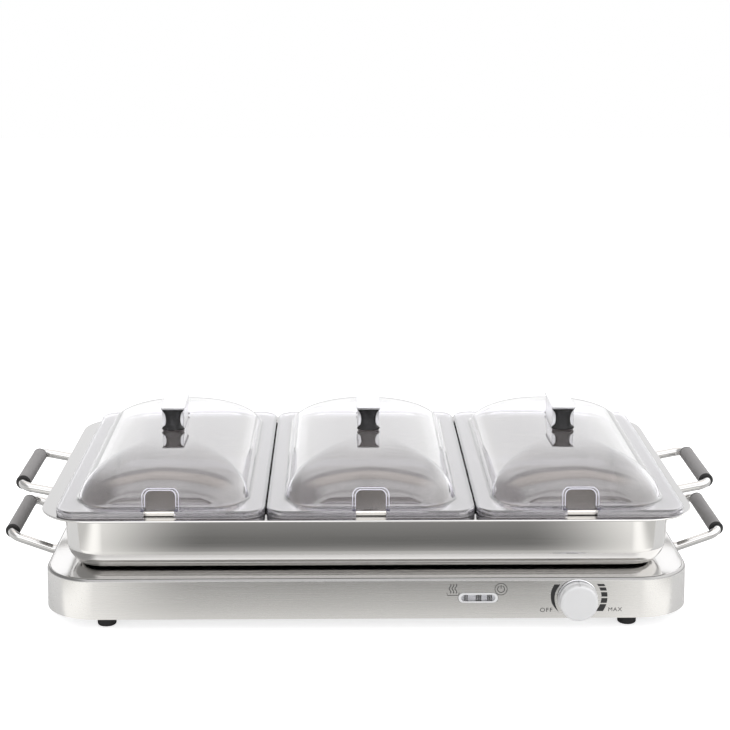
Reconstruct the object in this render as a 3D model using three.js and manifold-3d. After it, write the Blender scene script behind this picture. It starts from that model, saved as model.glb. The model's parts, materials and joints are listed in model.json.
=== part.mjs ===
// Electric food warmer tray: a heated base, a lift-off pan tray, three pans and three clear lids.
// Lengths are millimetres. X runs along the front, Y towards the back and Z up from the table.
import * as THREE from 'three';
import { mergeVertices } from 'three/addons/utils/BufferGeometryUtils.js';
import Module from 'manifold-3d';

const wasm = await Module();
wasm.setup();

// Fits shared by all pieces
const touch_gap = 0.3;
const cut_overrun = 2;
const steel_sheet = 1;
const quarter_turn = Math.PI / 2;

// Pans and lids
const side_names = ['left', 'middle', 'right'];
const pan_body_width = 152;
const pan_body_spacing = 24;
const pan_body_depth = 292;
const pan_height = 51;
const pan_sheet = 0.8;
const pan_corner_radius = 26;
const pan_taper = 3;
const pan_bottom_radius = 10;
const pan_curl_thickness = 2.6;
const pan_curl_height = 3.9;
const pan_rim_play = 0.6;
const pan_set_shift = 2.6;
const lid_spacing = 1;
const lid_depth = 325;
const lid_corner_radius = 17;
const lid_wall = 2.2;
const lid_skirt_clearance = 0.5;
const lid_edge_radius = 1.6;
const dome_height = 33.6;
const dome_side_inset = 15.5;
const dome_end_inset = 14;
const dome_corner_radius = 28;
const dome_side_power = 2;
const dome_end_power = 3;
const dome_level_shares = [0, 0.2, 0.42, 0.62, 0.8, 0.92, 0.97];
const dome_inner_level_shares = [0, 0.34, 0.66, 0.89, 0.97];
const dome_round_share = 0.96;
const notch_width = 25;
const notch_height = 19.5;
const notch_corner_radius = 6.5;
const notch_lip_wall = 3.2;
const notch_lip_stand = 2.4;
const notch_lip_reach = 12;

// Lid handle, a bar that runs front to back, with a waisted cap at each end and a plate on top
const lid_handle_length = 58;
const lid_handle_height = 21.7;
const lid_handle_top_width = 21.4;
const lid_handle_cap_thickness = 3;
const lid_handle_cap_shares = [
  [0.78, 0], [0.92, 0.06], [0.92, 0.11], [0.72, 0.2], [0.62, 0.32],
  [0.6, 0.5], [0.66, 0.69], [0.8, 0.84], [1, 0.93],
];
const lid_handle_core_shares = [[0.4, 0], [0.4, 0.93]];
const lid_handle_cover_shares = [[0.86, 0], [0.9, 0.03], [0.9, 0.9], [1, 0.94], [1, 1]];
const lid_screw_radius = 2;
const lid_screw_head_radius = 4;
const lid_screw_head_height = 2.4;
const lid_screw_grip = 9;

// Pan tray
const tray_side_overlap = 12;
const tray_height = 51.6;
const tray_flange_width = 17.5;
const tray_pan_play = 2;
const tray_taper = 2;
const tray_bottom_radius = 14;
const tray_corner_radius = 45;
const tray_body_corner_radius = 36;
const tray_curl_height = 1.9;
const tray_curl_width = 2.8;

// Base
const ground_gap = 11.2;
const base_height = 35.6;
const base_side_step = 1.3;
const base_end_step = 2.3;
const base_flare = 0.7;
const base_corner_radius = 45;
const base_edge_radius = 3;
const cover_recess = 1;
const cover_sheet = 1;
const foot_radius = 8;
const foot_place_shares = [0.806, 0.88];
const foot_recess_radius = 4.6;
const foot_recess_depth = 3.5;
const foot_screw_radius = 2;
const foot_screw_bite = 12;
const post_radius = 4.5;
const vent_length = 42;
const vent_width = 3.6;
const vent_pitch = 9;
const vent_count = 5;
const vent_place_share = 0.42;

// Heater stack under the top plate
const heater_end_room = 55.2;
const heater_side_room = 52.2;
const heater_thickness = 1.2;
const heater_corner_radius = 12;
const pad_thickness = 5;
const plate_thickness = 1;
const plate_border = 12;
const stud_radius = 2;
const stud_place_share = 0.8;
const plate_nut_radius = 4.4;
const plate_nut_height = 3.2;
const fuse_radius = 2.6;
const fuse_length = 14;
const fuse_place_shares = [0.26, 0.42];

// Thermostat and control knob
const knob_place_share = 0.6405;
const knob_height_share = 0.497;
const knob_radius = 15.8;
const knob_stand = 14;
const knob_front_round = 2.4;
const knob_running_gap = 0.8;
const knob_recess_radius = 10;
const knob_recess_depth = 3.4;
const knob_mark_width = 1.4;
const knob_mark_depth = 0.7;
const bezel_radius = 17;
const bezel_thickness = 1.2;
const bush_radius = 5;
const bush_nut_radius = 8;
const bush_nut_height = 2.4;
const shaft_radius = 3;
const shaft_length = 20;
const thermostat_radius = 13;
const thermostat_depth = 20;

// Indicator lamps
const window_place_share = 0.3365;
const window_height_share = 0.508;
const window_length = 33.4;
const window_width = 8.5;
const window_stand = 0.8;
const window_border = 2.2;
const window_border_thickness = 1.2;
const lamp_holder_wall = 1.6;
const lamp_holder_depth = 14;
const lamp_radius = 2.5;
const lamp_length = 11;
const lamp_spread_share = 0.26;

// Supply side
const gland_place_share = 0.55;
const gland_bore_radius = 3.7;
const gland_neck_radius = 6;
const gland_flange_radius = 8.5;
const gland_flange_thickness = 2.4;
const gland_stand = 7;
const gland_inner_length = 8;
const terminal_length = 30;
const terminal_depth = 16;
const terminal_height = 13;
const terminal_setback = 18;
const terminal_slot_width = 3.6;
const terminal_slot_depth = 8;
const wire_radius = 1.3;
const wire_bend_radius = 7;
const wire_lead = 14;

// Carry handles
const bar_radius = 4;
const bar_bend_radius = 10;
const handle_half_span = 54;
const grip_end_room = 10;
const grip_wall = 2.2;
const base_handle_reach = 43.4;
const base_handle_rise = 13.6;
const base_handle_low_share = 0.68;
const tray_handle_reach = 47.8;
const tray_handle_rise = 8.3;
const tray_handle_drop = 12.3;
const bar_run_in = 6;
const collar_radius = 6.4;
const collar_thickness = 1.6;
const handle_nut_radius = 7.4;
const handle_nut_height = 4.5;
const bar_tail = 10;

// Facet counts
const corner_steps = 4;
const knob_sides = 24;
const bar_sides = 8;
const round_sides = 12;
const small_sides = 8;
const wire_sides = 5;
const fillet_steps = 3;

// Heights, from the table up
const base_bottom = ground_gap;
const base_top = base_bottom + base_height;
const cover_bottom = base_bottom + cover_recess;
const cover_top = cover_bottom + cover_sheet;
const plate_under = base_top - steel_sheet;
const tray_bottom = base_top + touch_gap;
const tray_top = tray_bottom + tray_height;
const pan_curl_bottom = tray_top + touch_gap;
const pan_top = pan_curl_bottom + pan_curl_height;
const lid_rim_under = pan_top + touch_gap;
const lid_rim_top = lid_rim_under + lid_wall;
const lid_skirt_bottom = tray_top + lid_skirt_clearance;

// Half sizes in plan
const pan_pitch = pan_body_width + pan_body_spacing;
const lid_half_width = (pan_pitch - lid_spacing) / 2;
const lid_half_depth = lid_depth / 2;
const pan_rim_inset = lid_wall + pan_rim_play;
const pan_rim_half = [lid_half_width - pan_rim_inset, lid_half_depth - pan_rim_inset];
const pan_body_half = [pan_body_width / 2, pan_body_depth / 2];
const tray_body_half = [
  (side_names.length * pan_pitch - tray_side_overlap) / 2 + steel_sheet,
  pan_body_half[1] + tray_pan_play + steel_sheet,
];
const tray_rim_half = tray_body_half.map((half) => half + tray_flange_width);
const base_half = [tray_rim_half[0] - base_side_step, tray_rim_half[1] - base_end_step];
const heater_half = [base_half[0] - heater_end_room, base_half[1] - heater_side_room];
const grip_length = 2 * (handle_half_span - grip_end_room);

// Materials
const finish = (settings) => new THREE.MeshStandardMaterial(settings);
const metal = (color, roughness) => finish({ color, roughness, metalness: 1 });
const plastic = (color, roughness) => finish({ color, roughness, metalness: 0 });
const clear = (color) => finish({ color, roughness: 0.08, metalness: 0, transparent: true, opacity: 0.35 });
const brushed_steel = metal('#b9b7b4', 0.34);
const polished_steel = metal('#c9c8c7', 0.14);
const plain_steel = metal('#a5a5a6', 0.4);
const bright_trim = metal('#d9d9db', 0.22);
const black_rubber = plastic('#1c1c1d', 0.8);
const grip_rubber = plastic('#6d6a69', 0.75);
const black_plastic = plastic('#18181a', 0.35);
const silver_plastic = plastic('#d4d3d5', 0.38);
const white_plastic = plastic('#e6e2d8', 0.5);
const mica_board = plastic('#b8a98c', 0.7);
const glass_wool = plastic('#e9e4cf', 0.95);
const wire_sleeve = plastic('#c8503c', 0.6);
const clear_plastic = clear('#eceaf4');
const lamp_red = clear('#d8452c');

const assembly = new THREE.Group();

// Solids and meshes

function signed_volume(geometry) {
  const place = geometry.getAttribute('position');
  const [a, b, c] = [new THREE.Vector3(), new THREE.Vector3(), new THREE.Vector3()];
  let volume = 0;
  for (let i = 0; i < geometry.index.count; i += 3) {
    a.fromBufferAttribute(place, geometry.index.getX(i));
    b.fromBufferAttribute(place, geometry.index.getX(i + 1));
    c.fromBufferAttribute(place, geometry.index.getX(i + 2));
    volume += a.dot(b.cross(c));
  }
  return volume;
}

// Shares the vertices of a closed geometry and turns its faces outwards.
function welded(geometry) {
  const bare = new THREE.BufferGeometry();
  bare.setAttribute('position', geometry.getAttribute('position'));
  bare.setIndex(geometry.index);
  const shared = mergeVertices(bare);
  if (signed_volume(shared) < 0) {
    shared.setIndex(Array.from(shared.index.array).reverse());
  }
  return shared;
}

function solid(geometry) {
  const shared = welded(geometry);
  return new wasm.Manifold(new wasm.Mesh({
    numProp: 3,
    vertProperties: new Float32Array(shared.getAttribute('position').array),
    triVerts: new Uint32Array(shared.index.array),
  }));
}

function surface(body) {
  const mesh = body.getMesh();
  const geometry = new THREE.BufferGeometry();
  geometry.setAttribute('position', new THREE.BufferAttribute(mesh.vertProperties, 3));
  geometry.setIndex(new THREE.BufferAttribute(mesh.triVerts, 1));
  return geometry;
}

function joined(first, ...others) {
  return surface(others.reduce((body, other) => body.add(solid(other)), solid(first)));
}

function cut(first, ...tools) {
  return surface(tools.reduce((body, tool) => body.subtract(solid(tool)), solid(first)));
}

function add(name, geometry, material) {
  const shape = welded(geometry);
  shape.computeVertexNormals();
  const mesh = new THREE.Mesh(shape, material);
  mesh.name = name;
  assembly.add(mesh);
}

// Basic shapes

function block(low, high) {
  const size = high.map((value, axis) => value - low[axis]);
  const middle = high.map((value, axis) => (value + low[axis]) / 2);
  return new THREE.BoxGeometry(...size).translate(...middle);
}

// Rods along one axis between two ends, given in either order.

function rod(radius, [start, end], sides) {
  return new THREE.CylinderGeometry(radius, radius, Math.abs(end - start), sides);
}

function rod_z(radius, x, y, ends, sides = round_sides) {
  return rod(radius, ends, sides).rotateX(quarter_turn).translate(x, y, (ends[0] + ends[1]) / 2);
}

function rod_y(radius, x, z, ends, sides = round_sides) {
  return rod(radius, ends, sides).translate(x, (ends[0] + ends[1]) / 2, z);
}

function rod_x(radius, y, z, ends, sides = round_sides) {
  return rod(radius, ends, sides).rotateZ(quarter_turn).translate((ends[0] + ends[1]) / 2, y, z);
}

// A turned piece: the profile is a list of [radius, height] pairs, with height along +Z.
function turned(profile, sides = round_sides) {
  const points = profile.map(([radius, height]) => new THREE.Vector2(radius, height));
  return welded(new THREE.LatheGeometry(points, sides)).rotateX(quarter_turn);
}

// A turned piece whose profile height runs towards -Y, out of the front panel.
function turned_forward(profile, sides = round_sides) {
  return turned(profile, sides).rotateX(quarter_turn);
}

// A turned piece whose profile height runs towards +Y, out of the rear panel.
function turned_back(profile, sides = round_sides) {
  return turned(profile, sides).rotateX(-quarter_turn);
}

function rounded_ring([half_x, half_y], radius, z) {
  const signs = [[1, 1], [-1, 1], [-1, -1], [1, -1]];
  return signs.flatMap(([sign_x, sign_y], corner) => {
    return Array.from({ length: corner_steps + 1 }, (unused, step) => {
      const angle = (corner + step / corner_steps) * quarter_turn;
      return new THREE.Vector3(
        sign_x * (half_x - radius) + radius * Math.cos(angle),
        sign_y * (half_y - radius) + radius * Math.sin(angle),
        z,
      );
    });
  });
}

// A skin through rings of equal count, closed by a flat cap on the first ring and on the last.
function loft(rings) {
  const count = rings[0].length;
  const vertices = rings.flat();
  const faces = [];
  for (let start = 0; start < (rings.length - 1) * count; start += count) {
    for (let i = 0; i < count; i += 1) {
      const here = start + i;
      const next = start + (i + 1) % count;
      faces.push(here, next, here + count, next, next + count, here + count);
    }
  }
  [rings[0], rings[rings.length - 1]].forEach((ring, end) => {
    const middle = ring.reduce((sum, point) => sum.add(point), new THREE.Vector3()).divideScalar(count);
    const first = end * (rings.length - 1) * count;
    for (let i = 0; i < count; i += 1) {
      const pair = [first + i, first + (i + 1) % count];
      faces.push(vertices.length, ...(end ? pair : pair.reverse()));
    }
    vertices.push(middle);
  });
  const geometry = new THREE.BufferGeometry().setFromPoints(vertices);
  geometry.setIndex(faces);
  return welded(geometry);
}

// Rings of a quarter round that lies inside a corner, from one flat to the next.
// The first ring is on the wall at the height `wall_z`, the last on the flat at `flat_z`.
function fillet_rings(half, corner, radius, wall_z, flat_z) {
  return Array.from({ length: fillet_steps + 1 }, (unused, step) => {
    const angle = (step / fillet_steps) * quarter_turn;
    const inset = radius * (1 - Math.cos(angle));
    const height = wall_z + (flat_z - wall_z) * Math.sin(angle);
    return rounded_ring(half.map((value) => value - inset), corner - inset, height);
  });
}

function stadium(half_length, radius) {
  const shape = new THREE.Shape();
  const straight = half_length - radius;
  shape.absarc(straight, 0, radius, -quarter_turn, quarter_turn, false);
  shape.absarc(-straight, 0, radius, quarter_turn, -quarter_turn, false);
  return shape;
}

// An outline drawn in X and Z, extruded along Y between two ends given in either order.
function extruded_y(shape, from, to, curve_steps = corner_steps) {
  const options = { depth: Math.abs(to - from), bevelEnabled: false, curveSegments: curve_steps };
  return new THREE.ExtrudeGeometry(shape, options).rotateX(quarter_turn).translate(0, Math.max(from, to), 0);
}

function polygon_shape(points) {
  return new THREE.Shape(points.map(([x, y]) => new THREE.Vector2(x, y)));
}

// A hexagonal nut with a round bore, standing on z = 0.
function nut(radius, bore, height) {
  const shape = polygon_shape(Array.from({ length: 6 }, (unused, i) => {
    const angle = (i * Math.PI) / 3;
    return [radius * Math.cos(angle), radius * Math.sin(angle)];
  }));
  const hole = new THREE.Path().absarc(0, 0, bore, 0, Math.PI * 2, true);
  shape.holes.push(hole);
  const options = { depth: height, bevelEnabled: false, curveSegments: small_sides };
  return new THREE.ExtrudeGeometry(shape, options);
}

// Straight runs with rounded corners, measured by station and not by length.
class BentPath extends THREE.Curve {
  constructor(corners, bend_radius) {
    super();
    this.stations = [corners[0]];
    for (let i = 1; i < corners.length - 1; i += 1) {
      const back = corners[i - 1].clone().sub(corners[i]);
      const ahead = corners[i + 1].clone().sub(corners[i]);
      const half_angle = back.angleTo(ahead) / 2;
      const room = Math.min(back.length(), ahead.length()) / 2;
      const trim = Math.min(bend_radius / Math.tan(half_angle), room);
      const start = corners[i].clone().add(back.setLength(trim));
      const end = corners[i].clone().add(ahead.setLength(trim));
      const bend = new THREE.QuadraticBezierCurve3(start, corners[i], end);
      this.stations.push(...bend.getPoints(fillet_steps));
    }
    this.stations.push(corners[corners.length - 1]);
    this.steps = this.stations.length - 1;
  }

  getPoint(t) {
    const place = Math.min(Math.floor(t * this.steps), this.steps - 1);
    return this.stations[place].clone().lerp(this.stations[place + 1], t * this.steps - place);
  }

  getTangent(t) {
    const here = Math.round(t * this.steps);
    const runs = [here - 1, here].filter((i) => i >= 0 && i < this.steps);
    return runs.reduce((sum, i) => {
      return sum.add(this.stations[i + 1].clone().sub(this.stations[i]).normalize());
    }, new THREE.Vector3()).normalize();
  }

  getUtoTmapping(u) {
    return u;
  }
}

function tube(corners, radius, bend_radius, sides) {
  const path = new BentPath(corners.map((corner) => new THREE.Vector3(...corner)), bend_radius);
  const section = polygon_shape(Array.from({ length: sides }, (unused, i) => {
    const angle = (i / sides) * Math.PI * 2;
    return [radius * Math.cos(angle), radius * Math.sin(angle)];
  }));
  const options = { steps: path.steps, extrudePath: path, bevelEnabled: false };
  return welded(new THREE.ExtrudeGeometry(section, options));
}

// Base housing: a drawn steel shell, open below, whose walls spread slightly towards the table

function base_half_at(z, inset = 0) {
  const rise = (z - base_bottom) / base_height;
  return base_half.map((half) => half - base_flare * rise - inset);
}

function base_shell() {
  const wall_top = base_top - base_edge_radius;
  const outer_half = base_half_at(wall_top);
  const inner_half = base_half_at(wall_top, steel_sheet);
  const inner_corner = base_corner_radius - steel_sheet;
  const inner_round = base_edge_radius - steel_sheet;
  return loft([
    ...fillet_rings(inner_half, inner_corner, inner_round, wall_top, plate_under).reverse(),
    rounded_ring(base_half_at(base_bottom, steel_sheet), inner_corner, base_bottom),
    rounded_ring(base_half_at(base_bottom), base_corner_radius, base_bottom),
    ...fillet_rings(outer_half, base_corner_radius, base_edge_radius, wall_top, base_top),
  ]);
}

const knob_x = base_half[0] * knob_place_share;
const knob_z = base_bottom + base_height * knob_height_share;
const window_x = base_half[0] * window_place_share;
const window_z = base_bottom + base_height * window_height_share;
const gland_x = base_half[0] * gland_place_share;
const bar_z = base_bottom + base_height * base_handle_low_share;
const side_signs = [['left', -1], ['right', 1]];
const end_signs = [['front', -1], ['rear', 1]];
const foot_places = end_signs.flatMap(([end, sign_y]) => side_signs.map(([side, sign_x]) => ({
  name: `${end}_${side}`,
  x: sign_x * base_half[0] * foot_place_shares[0],
  y: sign_y * base_half[1] * foot_place_shares[1],
})));
const stud_places = end_signs.flatMap(([end, sign_y]) => side_signs.map(([side, sign_x]) => ({
  name: `${end}_${side}`,
  x: sign_x * (heater_half[0] + plate_border / 2),
  y: sign_y * heater_half[1] * stud_place_share,
})));
const pad_bottom = plate_under - touch_gap - heater_thickness - touch_gap - pad_thickness;
const plate_bottom = pad_bottom - touch_gap - plate_thickness;
const stud_bottom = plate_bottom - touch_gap - plate_nut_height - touch_gap;
const post_bottom = cover_top + touch_gap;

function add_base_housing() {
  const in_plate = base_top - steel_sheet / 2;
  const posts = foot_places.map(({ x, y }) => rod_z(post_radius, x, y, [post_bottom, in_plate]));
  const studs = stud_places.map(({ x, y }) => rod_z(stud_radius, x, y, [stud_bottom, in_plate], small_sides));
  const screw_hole = [post_bottom - cut_overrun, post_bottom + foot_screw_bite + touch_gap];
  const post_holes = foot_places.map(({ x, y }) => {
    return rod_z(foot_screw_radius + touch_gap, x, y, screw_hole, small_sides);
  });
  const wall_cut = [cut_overrun, -steel_sheet - base_flare - cut_overrun];
  const front_cut = wall_cut.map((step) => -base_half[1] - step);
  const rear_cut = wall_cut.map((step) => base_half[1] + step);
  const bush_hole = rod_y(bush_radius + touch_gap, knob_x, knob_z, front_cut);
  const window_outline = stadium(window_length / 2 + touch_gap, window_width / 2 + touch_gap);
  const window_hole = extruded_y(window_outline, ...front_cut).translate(window_x, 0, window_z);
  const gland_hole = rod_y(gland_neck_radius + touch_gap, gland_x, knob_z, rear_cut);
  const bar_holes = side_signs.flatMap(([, sign]) => [-handle_half_span, handle_half_span].map((y) => {
    const ends = wall_cut.map((step) => sign * (base_half[0] + step));
    return rod_x(bar_radius + touch_gap, y, bar_z, ends, small_sides);
  }));
  const tools = [...post_holes, bush_hole, window_hole, gland_hole, ...bar_holes];
  add('base_housing', cut(joined(base_shell(), ...posts, ...studs), ...tools), brushed_steel);
}

function add_bottom_cover() {
  const half = base_half_at(cover_top, steel_sheet + touch_gap);
  const corner = base_corner_radius - steel_sheet - touch_gap;
  const sheet = loft([rounded_ring(half, corner, cover_bottom), rounded_ring(half, corner, cover_top)]);
  const through = [cover_bottom - cut_overrun, cover_top + cut_overrun];
  const holes = foot_places.map(({ x, y }) => {
    return rod_z(foot_screw_radius + touch_gap, x, y, through, small_sides);
  });
  const vents = side_signs.flatMap(([, sign]) => Array.from({ length: vent_count }, (unused, i) => {
    const x = sign * base_half[0] * vent_place_share + (i - (vent_count - 1) / 2) * vent_pitch;
    const low = [x - vent_width / 2, -vent_length / 2, cover_bottom - cut_overrun];
    return block(low, [x + vent_width / 2, vent_length / 2, cover_top + cut_overrun]);
  }));
  add('bottom_cover', cut(sheet, ...holes, ...vents), plain_steel);
}

function add_feet() {
  const foot_top = cover_bottom - touch_gap;
  const bore = foot_screw_radius + touch_gap;
  const edge = foot_radius - foot_recess_radius;
  const profile = [
    [bore, foot_top], [foot_radius, foot_top], [foot_radius, edge / 2], [foot_radius - edge / 2, 0],
    [foot_recess_radius, 0], [foot_recess_radius, foot_recess_depth], [bore, foot_recess_depth],
    [bore, foot_top],
  ];
  const head_radius = foot_recess_radius - touch_gap;
  const head_top = foot_recess_depth - touch_gap;
  const head_bottom = head_top / 2;
  const screw = [
    [0, head_bottom], [head_radius, head_bottom], [head_radius, head_top], [foot_screw_radius, head_top],
    [foot_screw_radius, post_bottom + foot_screw_bite], [0, post_bottom + foot_screw_bite],
  ];
  foot_places.forEach(({ name, x, y }) => {
    add(`foot_${name}`, turned(profile).translate(x, y, 0), black_rubber);
    add(`foot_screw_${name}`, turned(screw, small_sides).translate(x, y, 0), plain_steel);
  });
}

// Heater stack: a mica heating mat and a pad, held up by a steel plate on four studs

function add_heater() {
  const slab = (size, bottom, thickness) => loft([
    rounded_ring(size, heater_corner_radius, bottom),
    rounded_ring(size, heater_corner_radius, bottom + thickness),
  ]);
  const mat_bottom = plate_under - touch_gap - heater_thickness;
  add('heating_mat', slab(heater_half, mat_bottom, heater_thickness), mica_board);
  add('insulation_pad', slab(heater_half, pad_bottom, pad_thickness), glass_wool);
  const plate = slab(heater_half.map((value) => value + plate_border), plate_bottom, plate_thickness);
  const through = [plate_bottom - cut_overrun, plate_bottom + plate_thickness + cut_overrun];
  const holes = stud_places.map(({ x, y }) => rod_z(stud_radius + touch_gap, x, y, through, small_sides));
  add('pressure_plate', cut(plate, ...holes), plain_steel);
  const nut_bottom = plate_bottom - touch_gap - plate_nut_height;
  stud_places.forEach(({ name, x, y }) => {
    const shape = nut(plate_nut_radius, stud_radius + touch_gap, plate_nut_height);
    add(`plate_nut_${name}`, shape.translate(x, y, nut_bottom), plain_steel);
  });
}

const fuse_x = heater_half[0] * fuse_place_shares[0];
const fuse_y = -heater_half[1] * fuse_place_shares[1];
const fuse_z = plate_bottom - touch_gap - fuse_radius;

function add_thermal_fuse() {
  const ends = [fuse_x - fuse_length / 2, fuse_x + fuse_length / 2];
  add('thermal_fuse', rod_x(fuse_radius, fuse_y, fuse_z, ends, small_sides), white_plastic);
}

// Thermostat, its bezel and nut, and the knob on its shaft

const bezel_back = -base_half_at(knob_z - bezel_radius)[1] - touch_gap;
const bezel_front = bezel_back - bezel_thickness;
const knob_back = bezel_front - knob_running_gap;
const knob_front = -base_half[1] - knob_stand;
const thermostat_front = -base_half_at(knob_z + thermostat_radius, steel_sheet)[1] + touch_gap;
const thermostat_back = thermostat_front + thermostat_depth;
const bush_front = bezel_front - touch_gap - bush_nut_height;
const shaft_bore = shaft_radius + touch_gap;
const shaft_back = thermostat_front + (shaft_length - (thermostat_front - knob_front)) + knob_front_round;

function add_thermostat() {
  const case_body = rod_y(thermostat_radius, knob_x, knob_z, [thermostat_front, thermostat_back]);
  const bush_ends = [bush_front, thermostat_front + touch_gap];
  const bush = rod_y(bush_radius, knob_x, knob_z, bush_ends, small_sides);
  const bore_ends = [bush_front - cut_overrun, shaft_back + touch_gap];
  const bore = rod_y(shaft_bore, knob_x, knob_z, bore_ends, small_sides);
  add('thermostat_body', cut(joined(case_body, bush), bore), black_plastic);
  const ring = nut(bush_nut_radius, bush_radius + touch_gap, bush_nut_height).rotateX(quarter_turn);
  add('thermostat_nut', ring.translate(knob_x, bezel_front - touch_gap, knob_z), plain_steel);
  const bezel_bore = bush_radius + touch_gap;
  const bezel = [
    [bezel_bore, 0], [bezel_radius, 0], [bezel_radius, bezel_thickness / 2],
    [bezel_radius - bezel_thickness / 2, bezel_thickness], [bezel_bore, bezel_thickness], [bezel_bore, 0],
  ];
  add('knob_bezel', turned_forward(bezel, knob_sides).translate(knob_x, bezel_back, knob_z), bright_trim);
}

function add_control_knob() {
  const depth = knob_back - knob_front;
  const bore_depth = depth - knob_front_round - touch_gap;
  const front_round = Array.from({ length: fillet_steps + 1 }, (unused, step) => {
    const angle = (step / fillet_steps) * quarter_turn;
    return [
      knob_radius - knob_front_round * (1 - Math.cos(angle)),
      depth - knob_front_round * (1 - Math.sin(angle)),
    ];
  });
  const profile = [
    [0, bore_depth], [shaft_bore, bore_depth], [shaft_bore, knob_recess_depth],
    [knob_recess_radius, knob_recess_depth], [knob_recess_radius, 0], [knob_radius, 0],
    ...front_round, [0, depth],
  ];
  const body = turned_forward(profile, knob_sides).translate(knob_x, knob_back, knob_z);
  const mark_bottom = knob_z + knob_radius - knob_mark_depth;
  const mark = block(
    [knob_x - knob_mark_width / 2, knob_front - cut_overrun, mark_bottom],
    [knob_x + knob_mark_width / 2, knob_back + cut_overrun, mark_bottom + cut_overrun],
  );
  add('knob_cap', cut(body, mark), silver_plastic);
  const shaft_ends = [knob_back - bore_depth + touch_gap, shaft_back];
  add('thermostat_shaft', rod_y(shaft_radius, knob_x, knob_z, shaft_ends, small_sides), plain_steel);
}

// Indicator window with two lamps in a holder behind it

function add_indicator() {
  const front = -base_half_at(window_z - window_width / 2)[1] - window_stand;
  const inner_wall = -base_half_at(window_z + window_width, steel_sheet)[1] + touch_gap;
  const border_back = inner_wall + window_border_thickness;
  const lens = extruded_y(stadium(window_length / 2, window_width / 2), front, border_back);
  const border_half = [window_length / 2 + window_border, window_width / 2 + window_border];
  const border = extruded_y(stadium(...border_half), inner_wall, border_back);
  add('lamp_window', joined(lens, border).translate(window_x, 0, window_z), clear_plastic);

  const holder_front = border_back + touch_gap;
  const holder_back = holder_front + lamp_holder_depth;
  const case_shape = extruded_y(stadium(...border_half), holder_front, holder_back);
  const pocket_half = border_half.map((half) => half - lamp_holder_wall);
  const pocket_back = holder_back - lamp_holder_wall;
  const pocket = extruded_y(stadium(...pocket_half), holder_front - cut_overrun, pocket_back);
  const lamp_offset = window_length * lamp_spread_share;
  const lamps = [['heat_lamp', -lamp_offset, lamp_red], ['power_lamp', lamp_offset, lamp_red]];
  const sockets = lamps.map(([, offset]) => {
    return rod_y(lamp_radius + touch_gap, offset, 0, [holder_front, holder_back + cut_overrun], small_sides);
  });
  add('lamp_holder', cut(case_shape, pocket, ...sockets).translate(window_x, 0, window_z), black_plastic);
  lamps.forEach(([name, offset, material]) => {
    const lamp = rod_y(lamp_radius, offset, 0, [holder_back - lamp_length, holder_back], small_sides);
    add(name, lamp.translate(window_x, 0, window_z), material);
  });
}

// Supply side: the gland in the rear panel, the terminal block and the wires

const terminal_front = base_half[1] - terminal_setback - terminal_depth;
const terminal_bottom = cover_top + touch_gap;
const wire_low = cover_top + touch_gap + wire_radius;

function add_supply() {
  const outer_wall = base_half_at(knob_z - gland_flange_radius)[1] + touch_gap;
  const inner_end = outer_wall - base_flare - steel_sheet - gland_inner_length;
  const tip = gland_flange_thickness + gland_stand;
  const profile = [
    [gland_bore_radius, inner_end - outer_wall], [gland_neck_radius, inner_end - outer_wall],
    [gland_neck_radius, 0], [gland_flange_radius, 0], [gland_flange_radius, gland_flange_thickness],
    [gland_neck_radius, gland_flange_thickness], [gland_neck_radius - gland_flange_thickness / 2, tip],
    [gland_bore_radius, tip], [gland_bore_radius, inner_end - outer_wall],
  ];
  add('cord_gland', turned_back(profile).translate(gland_x, outer_wall, knob_z), black_rubber);
  const half = terminal_length / 2;
  const terminal_top = terminal_bottom + terminal_height;
  const body = block(
    [gland_x - half, terminal_front, terminal_bottom],
    [gland_x + half, terminal_front + terminal_depth, terminal_top],
  );
  const slot_back = terminal_front + terminal_depth - terminal_slot_width / 2;
  const slots = [-1, 0, 1].map((place) => {
    const x = gland_x + (place * terminal_length) / 3;
    return block(
      [x - terminal_slot_width / 2, terminal_front - cut_overrun, terminal_top - terminal_slot_depth],
      [x + terminal_slot_width / 2, slot_back, terminal_top + cut_overrun],
    );
  });
  add('terminal_block', cut(body, ...slots), white_plastic);
}

function add_wires() {
  const live_x = gland_x + terminal_length / 3;
  const return_x = gland_x - terminal_length / 3;
  const start_y = terminal_front - touch_gap;
  const start_z = terminal_bottom + wire_radius + (terminal_height - terminal_slot_depth) / 3;
  const meet_y = thermostat_back + touch_gap;
  const low_z = knob_z - thermostat_radius / 2;
  add('wire_live', tube([
    [live_x, start_y, start_z], [live_x, start_y - wire_lead, wire_low],
    [knob_x, meet_y + wire_lead * 2, wire_low], [knob_x, meet_y + wire_lead, low_z],
    [knob_x, meet_y, low_z],
  ], wire_radius, wire_bend_radius, wire_sides), wire_sleeve);
  const fuse_end = fuse_x + fuse_length / 2 + touch_gap;
  const heater_wire_x = knob_x - thermostat_radius / 2;
  add('wire_heater', tube([
    [heater_wire_x, meet_y, knob_z], [heater_wire_x, meet_y + wire_lead, knob_z],
    [fuse_end + wire_lead, fuse_y, fuse_z], [fuse_end, fuse_y, fuse_z],
  ], wire_radius, wire_bend_radius, wire_sides), wire_sleeve);
  const plate_end = plate_bottom - touch_gap - wire_radius;
  add('wire_return', tube([
    [return_x, start_y, start_z], [return_x, start_y - wire_lead, start_z],
    [return_x - wire_lead * 2, start_y - wire_lead * 2, plate_end],
    [fuse_x - fuse_length, fuse_y, plate_end], [fuse_x - fuse_length / 2 - touch_gap, fuse_y, plate_end],
  ], wire_radius, wire_bend_radius, wire_sides), wire_sleeve);
}

// Carry handles: bent bars with a soft grip

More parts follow.
